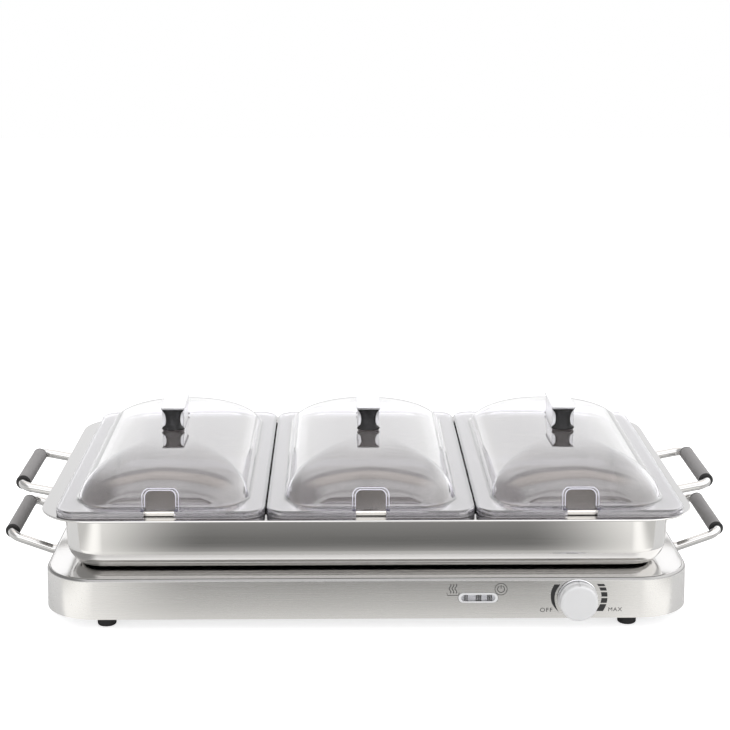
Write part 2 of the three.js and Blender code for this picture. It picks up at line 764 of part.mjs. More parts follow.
function handle_bar(sign, wall_x, tail, low_z, bend_z, reach, rise) {
  const x = (value) => sign * value;
  const end_x = wall_x + reach;
  const arm = [
    [x(wall_x - tail), low_z], [x(wall_x + bar_run_in), low_z], [x(end_x), bend_z + rise],
  ];
  const corners = [-1, 1].flatMap((end) => {
    const half = arm.map(([at_x, at_z]) => [at_x, end * handle_half_span, at_z]);
    return end < 0 ? half : half.reverse();
  });
  return tube(corners, bar_radius, bar_bend_radius, bar_sides);
}

function grip(x, z) {
  const inner = bar_radius + touch_gap;
  const outer = inner + grip_wall;
  const profile = [
    [inner, 0], [outer - grip_wall / 3, 0], [outer, grip_wall / 2], [outer, grip_length - grip_wall / 2],
    [outer - grip_wall / 3, grip_length], [inner, grip_length], [inner, 0],
  ];
  return turned_back(profile).translate(x, -grip_length / 2, z);
}

function add_base_handles() {
  const bar_ends = [['front', -handle_half_span], ['rear', handle_half_span]];
  const collar_back = base_half_at(bar_z - collar_radius)[0] + touch_gap;
  const nut_face = base_half_at(bar_z + handle_nut_radius, steel_sheet)[0] - touch_gap;
  side_signs.forEach(([side, sign]) => {
    const bar = handle_bar(sign, base_half[0], bar_tail, bar_z, bar_z, base_handle_reach, base_handle_rise);
    const collars = bar_ends.map(([, y]) => {
      return rod_x(collar_radius, y, bar_z, [sign * collar_back, sign * (collar_back + collar_thickness)]);
    });
    add(`base_handle_bar_${side}`, joined(bar, ...collars), polished_steel);
    const grip_x = sign * (base_half[0] + base_handle_reach);
    add(`base_grip_${side}`, grip(grip_x, bar_z + base_handle_rise), grip_rubber);
    bar_ends.forEach(([end, y]) => {
      const shape = nut(handle_nut_radius, bar_radius + touch_gap, handle_nut_height).rotateY(quarter_turn);
      const low_x = sign > 0 ? nut_face - handle_nut_height : -nut_face;
      add(`base_handle_nut_${end}_${side}`, shape.translate(low_x, y, bar_z), plain_steel);
    });
  });
}

function add_tray_handles() {
  const low_z = tray_top - tray_handle_drop;
  side_signs.forEach(([side, sign]) => {
    const wall_x = tray_body_half[0] + touch_gap;
    const bar = handle_bar(sign, wall_x, 0, low_z, low_z, tray_handle_reach, tray_handle_rise);
    const pads = [-handle_half_span, handle_half_span].map((y) => {
      return rod_x(collar_radius, y, low_z, [sign * wall_x, sign * (wall_x + collar_thickness)]);
    });
    add(`tray_handle_bar_${side}`, joined(bar, ...pads), polished_steel);
    const grip_x = sign * (wall_x + tray_handle_reach);
    add(`tray_grip_${side}`, grip(grip_x, low_z + tray_handle_rise), grip_rubber);
  });
}

// Pan tray: a tub with a wide flange and a curled rim

function add_tray() {
  const grow = (half, value) => half.map((size) => size + value);
  const body = tray_body_half;
  const low = grow(body, -tray_taper);
  const corner = tray_body_corner_radius;
  const wall_low = tray_bottom + tray_bottom_radius;
  const flange_under = tray_top - steel_sheet;
  const curl_bottom = tray_top - tray_curl_height;
  const inner_radius = tray_bottom_radius - steel_sheet;
  const inner_bottom = tray_bottom + steel_sheet;
  add('tray_shell', loft([
    ...fillet_rings(low, corner, tray_bottom_radius, wall_low, tray_bottom).reverse(),
    rounded_ring(body, corner, flange_under - steel_sheet),
    rounded_ring(grow(body, steel_sheet), corner, flange_under),
    rounded_ring(grow(tray_rim_half, -tray_curl_width), tray_corner_radius - tray_curl_width, flange_under),
    rounded_ring(grow(tray_rim_half, -tray_curl_width), tray_corner_radius - tray_curl_width, curl_bottom),
    rounded_ring(grow(tray_rim_half, -steel_sheet / 2), tray_corner_radius - steel_sheet / 2, curl_bottom),
    rounded_ring(tray_rim_half, tray_corner_radius, curl_bottom + steel_sheet / 2),
    rounded_ring(tray_rim_half, tray_corner_radius, tray_top - steel_sheet / 2),
    rounded_ring(grow(tray_rim_half, -steel_sheet / 2), tray_corner_radius - steel_sheet / 2, tray_top),
    rounded_ring(body, corner, tray_top),
    rounded_ring(grow(body, -steel_sheet), corner - steel_sheet, tray_top - steel_sheet),
    ...fillet_rings(grow(low, -steel_sheet), corner - steel_sheet, inner_radius, wall_low, inner_bottom),
  ]), brushed_steel);
}

// Pans: drawn steel with a flat rim whose edge curls down onto the tray flange

function pan_shell() {
  const grow = (half, value) => half.map((size) => size + value);
  const rim_corner = lid_corner_radius - pan_rim_inset;
  const low = grow(pan_body_half, -pan_taper);
  const pan_bottom = pan_top - pan_height;
  const wall_low = pan_bottom + pan_bottom_radius;
  const low_corner = pan_corner_radius - pan_taper;
  const inner_half = grow(pan_body_half, -pan_sheet);
  const inner_radius = pan_bottom_radius - pan_sheet;
  const inner_bottom = pan_bottom + pan_sheet;
  const curl_inner = grow(pan_rim_half, -pan_curl_thickness);
  const curl_corner = rim_corner - pan_curl_thickness;
  return loft([
    ...fillet_rings(low, low_corner, pan_bottom_radius, wall_low, pan_bottom).reverse(),
    rounded_ring(pan_body_half, pan_corner_radius, pan_top - pan_sheet),
    rounded_ring(curl_inner, curl_corner, pan_top - pan_sheet),
    rounded_ring(curl_inner, curl_corner, pan_curl_bottom),
    rounded_ring(grow(pan_rim_half, -pan_sheet), rim_corner - pan_sheet, pan_curl_bottom),
    rounded_ring(pan_rim_half, rim_corner, pan_curl_bottom + pan_sheet),
    rounded_ring(pan_rim_half, rim_corner, pan_top - pan_sheet),
    rounded_ring(grow(pan_rim_half, -pan_sheet), rim_corner - pan_sheet, pan_top),
    rounded_ring(grow(inner_half, pan_sheet), pan_corner_radius, pan_top),
    rounded_ring(inner_half, pan_corner_radius - pan_sheet, pan_top - pan_sheet),
    ...fillet_rings(grow(low, -pan_sheet), low_corner - pan_sheet, inner_radius, wall_low, inner_bottom),
  ]);
}

// Lids: a clear dome on a flat rim, with a skirt outside the pan and a spoon notch at the front

function dome_ring(share, inset, floor) {
  const half_x = lid_half_width - dome_side_inset - inset;
  const half_y = lid_half_depth - dome_end_inset - inset;
  const x = half_x * (1 - share ** dome_side_power) ** (1 / dome_side_power);
  const y = half_y * (1 - share ** dome_end_power) ** (1 / dome_end_power);
  const corner = dome_corner_radius - inset;
  const radius = Math.min(corner + (x - corner) * share, x * dome_round_share);
  return rounded_ring([x, y], radius, floor + dome_height * share);
}

function dome_solid(inset, floor, skirt_bottom) {
  const base_ring = dome_ring(0, inset, floor);
  return loft([
    base_ring.map((point) => new THREE.Vector3(point.x, point.y, skirt_bottom)),
    ...dome_inner_level_shares.map((share) => dome_ring(share, inset, floor)),
  ]);
}

function lid_shell() {
  const half = [lid_half_width, lid_half_depth];
  const inner = half.map((value) => value - lid_wall);
  const corner = lid_corner_radius;
  return loft([
    ...[...dome_inner_level_shares].reverse().map((share) => dome_ring(share, lid_wall, lid_rim_under)),
    rounded_ring(inner, corner - lid_wall, lid_rim_under),
    rounded_ring(inner, corner - lid_wall, lid_skirt_bottom),
    rounded_ring(half, corner, lid_skirt_bottom),
    ...fillet_rings(half, corner, lid_edge_radius, lid_rim_top - lid_edge_radius, lid_rim_top),
    ...dome_level_shares.map((share) => dome_ring(share, 0, lid_rim_top)),
  ]);
}

// An arch outline in X and Z with rounded top corners.
function arch_shape(half_width, low, high, radius) {
  const shape = new THREE.Shape();
  shape.moveTo(-half_width, low);
  shape.lineTo(half_width, low);
  shape.lineTo(half_width, high - radius);
  shape.absarc(half_width - radius, high - radius, radius, 0, quarter_turn, false);
  shape.absarc(radius - half_width, high - radius, radius, quarter_turn, Math.PI, false);
  shape.closePath();
  return shape;
}

const notch_top = lid_skirt_bottom + notch_height;
const dome_front = -(lid_half_depth - dome_end_inset);

function lid_dome() {
  const lip_outline = arch_shape(
    notch_width / 2 + notch_lip_wall, lid_rim_under + lid_wall / 2, notch_top + notch_lip_wall,
    notch_corner_radius + notch_lip_wall,
  );
  const lip_back = dome_front + notch_lip_reach;
  const lip_block = extruded_y(lip_outline, dome_front - notch_lip_stand, lip_back, fillet_steps);
  const below = lid_skirt_bottom - cut_overrun;
  const lip = cut(lip_block, dome_solid(lid_wall, lid_rim_under, below));
  const notch_outline = arch_shape(notch_width / 2, below, notch_top, notch_corner_radius);
  const notch_front = -lid_half_depth - cut_overrun;
  const notch = extruded_y(notch_outline, notch_front, lip_back + cut_overrun, fillet_steps);
  const through = [lid_rim_top, lid_seat + cut_overrun];
  const screw_hole = rod_z(lid_screw_radius + touch_gap, 0, 0, through, small_sides);
  return cut(joined(lid_shell(), lip), notch, screw_hole);
}

const crown_share = dome_level_shares[dome_level_shares.length - 1];
const lid_seat = lid_rim_top + dome_height * crown_share;
const handle_bottom = lid_seat + touch_gap;

// The handle's outline from shares of its width and height, moved out by `outset` at the sides and the top.
function handle_outline(shares, outset = 0) {
  const side = shares.map(([width_share, height_share], i) => {
    const lift = i === shares.length - 1 ? outset : 0;
    const x = (lid_handle_top_width / 2) * width_share + outset;
    return [x, handle_bottom + lid_handle_height * height_share + lift];
  });
  return [...side, ...side.map(([x, z]) => [-x, z]).reverse()];
}

function handle_bar_between(outline, ends) {
  return extruded_y(polygon_shape(outline), ...ends);
}

const handle_ends = [-lid_handle_length / 2, lid_handle_length / 2];
const cap_ends = handle_ends.map((y) => y - Math.sign(y) * lid_handle_cap_thickness);

function lid_handle_cover() {
  const outline = handle_outline(lid_handle_cover_shares);
  const saddle = handle_bar_between(outline, cap_ends.map((y) => y - Math.sign(y) * touch_gap));
  const plate_half = lid_handle_top_width / 2;
  const [, cap_top_share] = lid_handle_cap_shares[lid_handle_cap_shares.length - 1];
  const plate_under = handle_bottom + lid_handle_height * cap_top_share + touch_gap;
  const plate = block(
    [-plate_half, handle_ends[0], plate_under],
    [plate_half, handle_ends[1], handle_bottom + lid_handle_height],
  );
  const slot_outline = handle_outline(lid_handle_core_shares, touch_gap);
  const slot_floor = slot_outline.map(([x, z]) => [x, z > handle_bottom ? z : z - cut_overrun]);
  return cut(joined(saddle, plate), handle_bar_between(slot_floor, handle_ends));
}

function lid_handle_core() {
  const bar = handle_bar_between(handle_outline(lid_handle_core_shares), handle_ends);
  const caps = handle_ends.map((y, i) => {
    return handle_bar_between(handle_outline(lid_handle_cap_shares), [y, cap_ends[i]]);
  });
  const hole_ends = [handle_bottom - cut_overrun, handle_bottom + lid_screw_grip + touch_gap];
  const hole = rod_z(lid_screw_radius + touch_gap, 0, 0, hole_ends, small_sides);
  return cut(joined(bar, ...caps), hole);
}

function lid_screw() {
  const head_top = lid_seat - lid_wall - touch_gap;
  const head_bottom = head_top - lid_screw_head_height;
  const tip = handle_bottom + lid_screw_grip;
  return turned([
    [0, head_bottom], [lid_screw_head_radius, head_bottom], [lid_screw_head_radius, head_top],
    [lid_screw_radius, head_top], [lid_screw_radius, tip], [0, tip],
  ], small_sides);
}

function add_pans_and_lids() {
  side_names.forEach((side, place) => {
    const x = pan_set_shift + (place - (side_names.length - 1) / 2) * pan_pitch;
    add(`pan_${side}`, pan_shell().translate(x, 0, 0), polished_steel);
    add(`lid_dome_${side}`, lid_dome().translate(x, 0, 0), clear_plastic);
    add(`lid_handle_core_${side}`, lid_handle_core().translate(x, 0, 0), black_plastic);
    add(`lid_handle_cover_${side}`, lid_handle_cover().translate(x, 0, 0), bright_trim);
    add(`lid_screw_${side}`, lid_screw().translate(x, 0, 0), plain_steel);
  });
}

add_base_housing();
add_bottom_cover();
add_feet();
add_heater();
add_thermal_fuse();
add_thermostat();
add_control_knob();
add_indicator();
add_supply();
add_wires();
add_base_handles();
add_tray();
add_tray_handles();
add_pans_and_lids();

// The origin lies on the table under the middle of the whole part.
const extent = new THREE.Box3().setFromObject(assembly);
assembly.position.y = -(extent.min.y + extent.max.y) / 2;
assembly.updateMatrixWorld(true);

export default assembly;
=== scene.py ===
# Electric food warmer tray. Lengths are millimetres in the row frame's axes, with y = 0 at the middle
# of the tray, and are turned into metres where a mesh is made.
import json
import math

import bmesh
import bpy
from mathutils import Matrix, Vector


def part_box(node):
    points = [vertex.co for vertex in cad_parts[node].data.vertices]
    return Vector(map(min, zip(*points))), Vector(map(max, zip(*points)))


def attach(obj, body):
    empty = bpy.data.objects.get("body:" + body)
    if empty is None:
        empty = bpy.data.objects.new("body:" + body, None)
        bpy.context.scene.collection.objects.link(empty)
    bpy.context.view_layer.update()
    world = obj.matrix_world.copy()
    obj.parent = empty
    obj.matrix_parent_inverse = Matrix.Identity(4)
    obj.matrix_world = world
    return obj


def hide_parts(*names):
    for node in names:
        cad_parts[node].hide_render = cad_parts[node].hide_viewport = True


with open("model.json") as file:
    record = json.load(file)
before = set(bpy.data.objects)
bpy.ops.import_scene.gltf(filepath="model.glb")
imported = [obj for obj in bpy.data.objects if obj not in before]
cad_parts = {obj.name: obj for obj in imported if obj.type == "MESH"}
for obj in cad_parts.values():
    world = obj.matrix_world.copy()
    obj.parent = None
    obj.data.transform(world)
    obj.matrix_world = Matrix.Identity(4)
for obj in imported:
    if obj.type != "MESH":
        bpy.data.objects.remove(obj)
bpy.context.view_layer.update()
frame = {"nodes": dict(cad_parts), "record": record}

MM = 0.001
QUARTER = math.pi / 2
SIDES = (("left", -1), ("right", 1))
ENDS = (("front", -1), ("rear", 1))
LIDS = ("left", "middle", "right")


def box_mm(node):
    low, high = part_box(node)
    return [value / MM for value in low], [value / MM for value in high]


def middle_of(node):
    return [(low + high) / 2 for low, high in zip(*box_mm(node))]


def half_of(node):
    return [(high - low) / 2 for low, high in zip(*box_mm(node))]


def heights_of(node):
    return [corner[2] for corner in box_mm(node)]


# Sizes taken from the CAD boxes
ROW_SHIFT = middle_of("tray_shell")[1]
BASE_LOW, BASE_TOP = heights_of("base_housing")
BASE_HALF = half_of("base_housing")[:2]
TRAY_LOW, TRAY_TOP = heights_of("tray_shell")
FLANGE_HALF = half_of("tray_shell")[:2]
PAN_LOW, PAN_TOP = heights_of("pan_middle")
PAN_RIM_HALF = half_of("pan_middle")[:2]
LID_LOW, LID_SEAT = heights_of("lid_dome_middle")
LID_HALF = half_of("lid_dome_middle")[:2]
LID_X = {name: middle_of(f"lid_dome_{name}")[0] for name in LIDS}
KNOB_X, _, KNOB_Z = middle_of("knob_cap")
WINDOW_X, _, WINDOW_Z = middle_of("lamp_window")
GLAND_X, _, GLAND_Z = middle_of("cord_gland")

CLEARANCE = 0.3
OVERRUN = 4

# Mesh density
CORNER_STEPS = 14
ROUND_STEPS = 6
TURN_SIDES = 48
KNOB_SIDES = 96
ROD_SIDES = 32
SHARP_ANGLE = 32
SHARPEST_TURN = 0.35

collection = bpy.context.scene.collection


# Shapes are (points, faces) pairs

def rounding(radius, steps=ROUND_STEPS):
    """A quarter round from a wall up to a level top: how far each point stands in, and how far below."""
    angles = [QUARTER * step / steps for step in range(steps + 1)]
    return [(radius * (1 - math.cos(angle)), radius * (1 - math.sin(angle))) for angle in angles]


def rounded_ring(half_x, half_y, radius, z):
    ring = []
    for corner, (sign_x, sign_y) in enumerate(((1, 1), (-1, 1), (-1, -1), (1, -1))):
        for step in range(CORNER_STEPS + 1):
            angle = (corner + step / CORNER_STEPS) * QUARTER
            ring.append((
                sign_x * (half_x - radius) + radius * math.cos(angle),
                sign_y * (half_y - radius) + radius * math.sin(angle),
                z,
            ))
    return ring


def loft(rings, closed=False):
    """A skin through rings of equal count, with a cap on each end, or joined end to end."""
    count = len(rings[0])
    points = [point for ring in rings for point in ring]
    faces = []
    last = len(rings) if closed else len(rings) - 1
    for row in range(last):
        here = row * count
        there = ((row + 1) % len(rings)) * count
        for i in range(count):
            j = (i + 1) % count
            faces.append((here + i, here + j, there + j, there + i))
    if not closed:
        faces.append(tuple(reversed(range(count))))
        faces.append(tuple(range((len(rings) - 1) * count, len(rings) * count)))
    return points, faces


def joined(*shapes):
    points, faces = [], []
    for some_points, some_faces in shapes:
        start = len(points)
        points.extend(some_points)
        faces.extend(tuple(start + i for i in face) for face in some_faces)
    return points, faces


def moved(shape, x=0, y=0, z=0):
    points, faces = shape
    return [(a + x, b + y, c + z) for a, b, c in points], faces


def turned(profile, axis="z", sides=TURN_SIDES):
    """A closed profile of (radius, height) pairs, turned about an axis. Points on the axis stay single."""
    rows, points, faces = [], [], []
    for radius, height in profile:
        count = sides if radius else 1
        rows.append(range(len(points), len(points) + count))
        for i in range(count):
            angle = 2 * math.pi * i / sides
            points.append((radius * math.cos(angle), radius * math.sin(angle), height))
    pairs = list(zip(rows, rows[1:]))
    if len(rows[0]) + len(rows[-1]) > 2:
        pairs.append((rows[-1], rows[0]))
    for low, high in pairs:
        for i in range(sides if len(low) + len(high) > 2 else 0):
            j = (i + 1) % sides
            corners = (low[i % len(low)], low[j % len(low)], high[j % len(high)], high[i % len(high)])
            faces.append(tuple(dict.fromkeys(corners)))
    swaps = {
        "z": lambda a, b, c: (a, b, c),
        "front": lambda a, b, c: (a, -c, b),
        "back": lambda a, b, c: (-a, c, b),
        "x": lambda a, b, c: (c, a, b),
    }
    return [swaps[axis](*point) for point in points], faces


def rod(radius, start, end, axis, sides=ROD_SIDES):
    return turned([(0, start), (radius, start), (radius, end), (0, end)], axis, sides)


def shrunk(outline, inset):
    """An outline moved inwards along its corners. The outline runs anticlockwise."""
    if not inset:
        return list(outline)
    count = len(outline)
    out = []
    for i in range(count):
        ax, az = outline[i - 1]
        bx, bz = outline[i]
        cx, cz = outline[(i + 1) % count]
        first = Vector((bx - ax, bz - az)).normalized()
        second = Vector((cx - bx, cz - bz)).normalized()
        normal = Vector((-first.y - second.y, first.x + second.x))
        reach = inset / max(1 + first.dot(second), SHARPEST_TURN)
        out.append((bx + normal.x * reach, bz + normal.y * reach))
    return out


def extruded(outline, ends, bevel=0, steps=3):
    """An outline in x and z, run along y between two ends, with rounded end edges."""
    low, high = ends
    edge = rounding(bevel, steps) if bevel else [(0, 0)]
    rings = [(depth, shrunk(outline, inset)) for depth, inset in edge]
    made = [[(x, low + depth, z) for x, z in ring] for depth, ring in rings]
    made += [[(x, high - depth, z) for x, z in ring] for depth, ring in reversed(rings)]
    return loft(made)


def stadium(half_length, radius, steps=12):
    straight = half_length - radius
    out = []
    for side in (1, -1):
        for step in range(steps + 1):
            angle = math.pi * step / steps - side * QUARTER
            out.append((side * straight + radius * math.cos(angle), radius * math.sin(angle)))
    return out


def arch(half, low, high, radius, steps=8):
    """A flat foot, two walls and two round upper corners, anticlockwise from the lower left."""
    right = [(half - inset, high - drop) for inset, drop in rounding(radius, steps)]
    return [(-half, low), (half, low)] + right + [(-x, z) for x, z in reversed(right)]


def bent_path(corners, radius, steps=10):
    """Straight runs joined by true arcs, as a list of points."""
    corners = [Vector(corner) for corner in corners]
    out = [corners[0]]
    for before, here, after in zip(corners, corners[1:], corners[2:]):
        back = (before - here).normalized()
        ahead = (after - here).normalized()
        half_angle = back.angle(ahead) / 2
        trim = radius / math.tan(half_angle)
        centre = here + (back + ahead).normalized() * (radius / math.sin(half_angle))
        start = here + back * trim - centre
        end = here + ahead * trim - centre
        total = start.angle(end)
        for step in range(steps + 1):
            share = step / steps
            a = math.sin((1 - share) * total) / math.sin(total)
            b = math.sin(share * total) / math.sin(total)
            out.append(centre + start * a + end * b)
    out.append(corners[-1])
    return out


def tube(path, radius, sides=24):
    rings = []
    tangent = (path[1] - path[0]).normalized()
    across = tangent.orthogonal().normalized()
    for i, point in enumerate(path):
        before = path[max(i - 1, 0)]
        after = path[min(i + 1, len(path) - 1)]
        fresh = (after - before).normalized()
        across = (across - fresh * across.dot(fresh)).normalized()
        up = fresh.cross(across)
        ring = []
        for step in range(sides):
            angle = 2 * math.pi * step / sides
            ring.append(tuple(point + across * (radius * math.cos(angle)) + up * (radius * math.sin(angle))))
        rings.append(ring)
    return loft(rings)


def eased(points, steps=5):
    """A smooth line through the points, with its own ends kept."""
    out = []
    last = len(points) - 1
    for i in range(last):
        a, b = points[max(i - 1, 0)], points[i]
        c, d = points[i + 1], points[min(i + 2, last)]
        for step in range(steps):
            t = step / steps
            out.append(tuple(
                0.5 * (2 * b[k] + (c[k] - a[k]) * t + (2 * a[k] - 5 * b[k] + 4 * c[k] - d[k]) * t * t
                       + (3 * b[k] - a[k] - 3 * c[k] + d[k]) * t ** 3)
                for k in (0, 1)
            ))
    out.append(points[last])
    return out


def drawn_rings(rows, half, out, corner, rim_corner):
    """Rings of a drawn tub through (outset, height) rows. Its corner radius runs over to the rim's."""
    rings = []
    for outset, z in rows:
        share = min(max(outset / out, 0), 1)
        radius = corner + (rim_corner - corner) * share + min(outset, 0)
        rings.append(rounded_ring(half[0] + outset, half[1] + outset, radius, z))
    return rings


# Meshes and pieces

def make_object(name, shape, material=None):
    points, faces = shape
    mesh = bpy.data.meshes.new(name)
    mesh.from_pydata([(x * MM, (y + ROW_SHIFT) * MM, z * MM) for x, y, z in points], [], faces)
    mesh.validate()
    mesh.update()
    made = bpy.data.objects.new(name, mesh)
    collection.objects.link(made)
    if material:
        mesh.materials.append(material)
    return made


def outwards(made):
    """Turns every face of a closed mesh outwards."""
    work = bmesh.new()
    work.from_mesh(made.data)
    bmesh.ops.recalc_face_normals(work, faces=work.faces)
    work.to_mesh(made.data)
    work.free()
    return made


def evaluated_mesh(made):
    bpy.context.view_layer.update()
    graph = bpy.context.evaluated_depsgraph_get()
    return bpy.data.meshes.new_from_object(made.evaluated_get(graph))


def boolean(made, tool, operation="DIFFERENCE"):
    """Cuts an object with another, which is used up."""
    modifier = made.modifiers.new("boolean", "BOOLEAN")
    modifier.operation = operation
    modifier.solver = "EXACT"
    modifier.object = tool
    mesh = evaluated_mesh(made)
    made.modifiers.clear()
    made.data = mesh
    bpy.data.objects.remove(tool)


def cut(made, shape, operation="DIFFERENCE"):
    boolean(made, outwards(make_object("tool", shape)), operation)


def weigh_normals(made):
    made.modifiers.new("weigh_normals", "WEIGHTED_NORMAL").keep_sharp = True


def smooth(made):
    made.data.shade_smooth()
    made.data.set_sharp_from_angle(angle=math.radians(SHARP_ANGLE))
    weigh_normals(made)


def declare(made, body, node=None):
    """Says which body a piece rides on, and hides the CAD node that it replaces."""
    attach(made, body)
    if node:
        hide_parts(node)


def piece(name, shape, material, body, node=None, cuts=()):
    made = outwards(make_object(name, shape, material))
    for shape_cut in cuts:
        cut(made, shape_cut)
    smooth(made)
    declare(made, body, node)


def set_out(first, name, body, node):
    """Puts a piece in the left place and copies in the others. The names have {} for the place."""
    smooth(first)
    for place in LIDS:
        made = first
        if place != LIDS[0]:
            made = bpy.data.objects.new(name.format(place), first.data)
            collection.objects.link(made)
            weigh_normals(made)
        made.location = (LID_X[place] * MM, 0, 0)
        declare(made, body.format(place), node.format(place))


# Materials

GRAIN_RANGE = (0.3, 0.7)
GRAIN_BUMP = 0.00005
BRUSH_BUMP = 0.00003
BRUSH_FINE = 1400
BRUSH_LONG = 12
BRUSH_TURN = (0.55, 0.85)
STEEL_CLOUD = 14
STEEL_MOTTLE = (0.985, 1.01)
PLASTIC_CLOUD_SHARE = 40
PLASTIC_ROUGH_SPREAD = (0.88, 1.12)
CLEAR_CLOUD = 6
CLEAR_MOTTLE = 0.99
CLEAR_RIPPLE = (9, 0.08, 0.0006)
STEEL_TINT = (1.0, 0.995, 0.988)
BRIGHT_TINT = (1.0, 1.0, 1.01)
PAN_TINT = (1.0, 0.985, 0.962)

# Painted shade: where the height of the normal starts and ends a change of painted shade, and the share of
# the steel's own shade. It darkens the base's rounded top edge, and the tray's upward faces and lower bend.
FACING_UP = (0.5, 0.95)
BASE_PAINTED_SHADES = ((0.15, 0.35, 0.66), (0.9, 0.99, 0.985))
TRAY_PAINTED_SHADES = ((*FACING_UP, 0.79), (-0.1, -0.3, 0.92))


def add_node(tree, kind, inputs=None, **settings):
    made = tree.nodes.new(kind)
    for key, value in settings.items():
        setattr(made, key, value)
    for key, value in (inputs or {}).items():
        if isinstance(value, bpy.types.NodeSocket):
            tree.links.new(value, made.inputs[key])
        else:
            made.inputs[key].default_value = value
    return made


def new_material(name, **values):
    material = bpy.data.materials.new(name)
    material.use_nodes = True
    tree = material.node_tree
    shader = tree.nodes["Principled BSDF"]
    for key, value in values.items():
        shader.inputs[key.replace("_", " ").title().replace("Ior", "IOR")].default_value = value
    return material, tree, shader


def colour(red, green, blue):
    """sRGB shares to the linear colour that a shader takes."""
    def linear(value):
        return value / 12.92 if value <= 0.04045 else ((value + 0.055) / 1.055) ** 2.4
    return linear(red), linear(green), linear(blue), 1.0


def calculated(tree, operation, *values):
    return add_node(tree, "ShaderNodeMath", dict(enumerate(values)), operation=operation).outputs[0]


def mixed(tree, share, first, second, kind="FLOAT"):
    inputs = {"Factor": share, "A": first, "B": second}
    return add_node(tree, "ShaderNodeMix", inputs, data_type=kind).outputs["Result"]


def blended(tree, share, first, second):
    """One colour run into another by a share."""
    return mixed(tree, share, first, second, "RGBA")


def ranged(tree, value, start, end, low=0.0, high=1.0, kind="SMOOTHSTEP"):
    """A value run from one range over to another, and held at its ends."""
    return add_node(tree, "ShaderNodeMapRange", {
        "Value": value, "From Min": start, "From Max": end, "To Min": low, "To Max": high,
    }, interpolation_type=kind).outputs["Result"]


def spread(tree, grain, low, high):
    """Noise run out to the range from low to high."""
    return ranged(tree, grain, *GRAIN_RANGE, low, high, "LINEAR")


def noise(tree, scale, detail, stretch=(1, 1, 1)):
    """Noise in the object's own space. The scale counts grains in a metre."""
    place = add_node(tree, "ShaderNodeTexCoord").outputs["Object"]
    mapping = add_node(tree, "ShaderNodeMapping", {"Vector": place, "Scale": stretch})
    inputs = {"Vector": mapping.outputs["Vector"], "Scale": scale, "Detail": detail}
    return add_node(tree, "ShaderNodeTexNoise", inputs).outputs["Fac"]


def split(tree, vector):
    parts = add_node(tree, "ShaderNodeSeparateXYZ", {"Vector": vector})
    return [parts.outputs[axis] for axis in "XYZ"]


def bumped(tree, shader, height, strength, distance):
    inputs = {"Height": height, "Strength": strength, "Distance": distance}
    tree.links.new(add_node(tree, "ShaderNodeBump", inputs).outputs["Normal"], shader.inputs["Normal"])


def steel(name, shade, roughness, spread_share, bump, tint=STEEL_TINT, top_share=1.0, shades=()):
    """Steel whose brushing runs level round the walls: along X in front and behind, along Y on the sides.
    Each of the shades paints shade into its colour where the height of the normal lies in its range.
    """
    def tinted(share):
        return colour(*(shade * share * part for part in tint))

    material, tree, shader = new_material(name, metallic=1.0)
    sideways, _, upward = split(tree, add_node(tree, "ShaderNodeTexCoord").outputs["Normal"])
    along_x = noise(tree, 1, 3, (BRUSH_LONG, BRUSH_FINE, BRUSH_FINE))
    along_y = noise(tree, 1, 3, (BRUSH_FINE, BRUSH_LONG, BRUSH_FINE))
    turn = ranged(tree, calculated(tree, "ABSOLUTE", sideways), *BRUSH_TURN, kind="LINEAR")
    grain = mixed(tree, turn, along_x, along_y)
    tone = blended(tree, noise(tree, STEEL_CLOUD, 2), *(tinted(share) for share in STEEL_MOTTLE))
    # Painted shade: each of the shades darkens the colour by the height of the normal.
    for start, end, share in shades:
        tone = blended(tree, ranged(tree, upward, start, end), tone, tinted(share))
    tree.links.new(tone, shader.inputs["Base Color"])
    rough = spread(tree, grain, roughness * (1 - spread_share), roughness * (1 + spread_share))
    if top_share < 1:
        rough = calculated(tree, "MULTIPLY", rough, ranged(tree, upward, *FACING_UP, 1.0, top_share))
    tree.links.new(rough, shader.inputs["Roughness"])
    bumped(tree, shader, grain, bump, BRUSH_BUMP)
    return material


def plastic(name, shade, roughness, grain_scale, bump, mottle, **values):
    material, tree, shader = new_material(name, **values)
    cloud = noise(tree, grain_scale / PLASTIC_CLOUD_SHARE, 2)
    low = colour(*(max(part - mottle, 0) for part in shade))
    high = colour(*(min(part + mottle, 1) for part in shade))
    tree.links.new(blended(tree, cloud, low, high), shader.inputs["Base Color"])
    grain = noise(tree, grain_scale, 3)
    rough = spread(tree, grain, *(min(roughness * share, 1) for share in PLASTIC_ROUGH_SPREAD))
    tree.links.new(rough, shader.inputs["Roughness"])
    bumped(tree, shader, grain, bump, GRAIN_BUMP)
    return material


def clear_plastic(name, tint, roughness):
    material, tree, shader = new_material(name, ior=1.49, roughness=roughness, transmission_weight=1.0)
    low = colour(*(part * CLEAR_MOTTLE for part in tint))
    cloud = noise(tree, CLEAR_CLOUD, 2)
    tree.links.new(blended(tree, cloud, low, colour(*tint)), shader.inputs["Base Color"])
    scale, strength, distance = CLEAR_RIPPLE
    bumped(tree, shader, noise(tree, scale, 1), strength, distance)
    return material


def lid_plastic(name, tint, roughness, edge, glow_depth=0.8, clear_share=0.95):
    """Clear plastic with a hard gloss, and a milky glow below the height of its moulded edge."""
    material = clear_plastic(name, tint, roughness)
    tree = material.node_tree
    shader = tree.nodes["Principled BSDF"]
    height = split(tree, add_node(tree, "ShaderNodeTexCoord").outputs["Object"])[2]
    clear = ranged(tree, height, (edge - glow_depth) * MM, edge * MM, clear_share)
    tree.links.new(clear, shader.inputs["Transmission Weight"])
    for key, value in (("Weight", 1.0), ("Roughness", 0.02), ("IOR", 1.8)):
        shader.inputs[f"Coat {key}"].default_value = value
    return material


# Lids
LID_CORNER = 17
LID_WALL = 2.2
LID_EDGE = 1.6
LID_RIM_TOP = PAN_TOP + CLEARANCE + LID_WALL

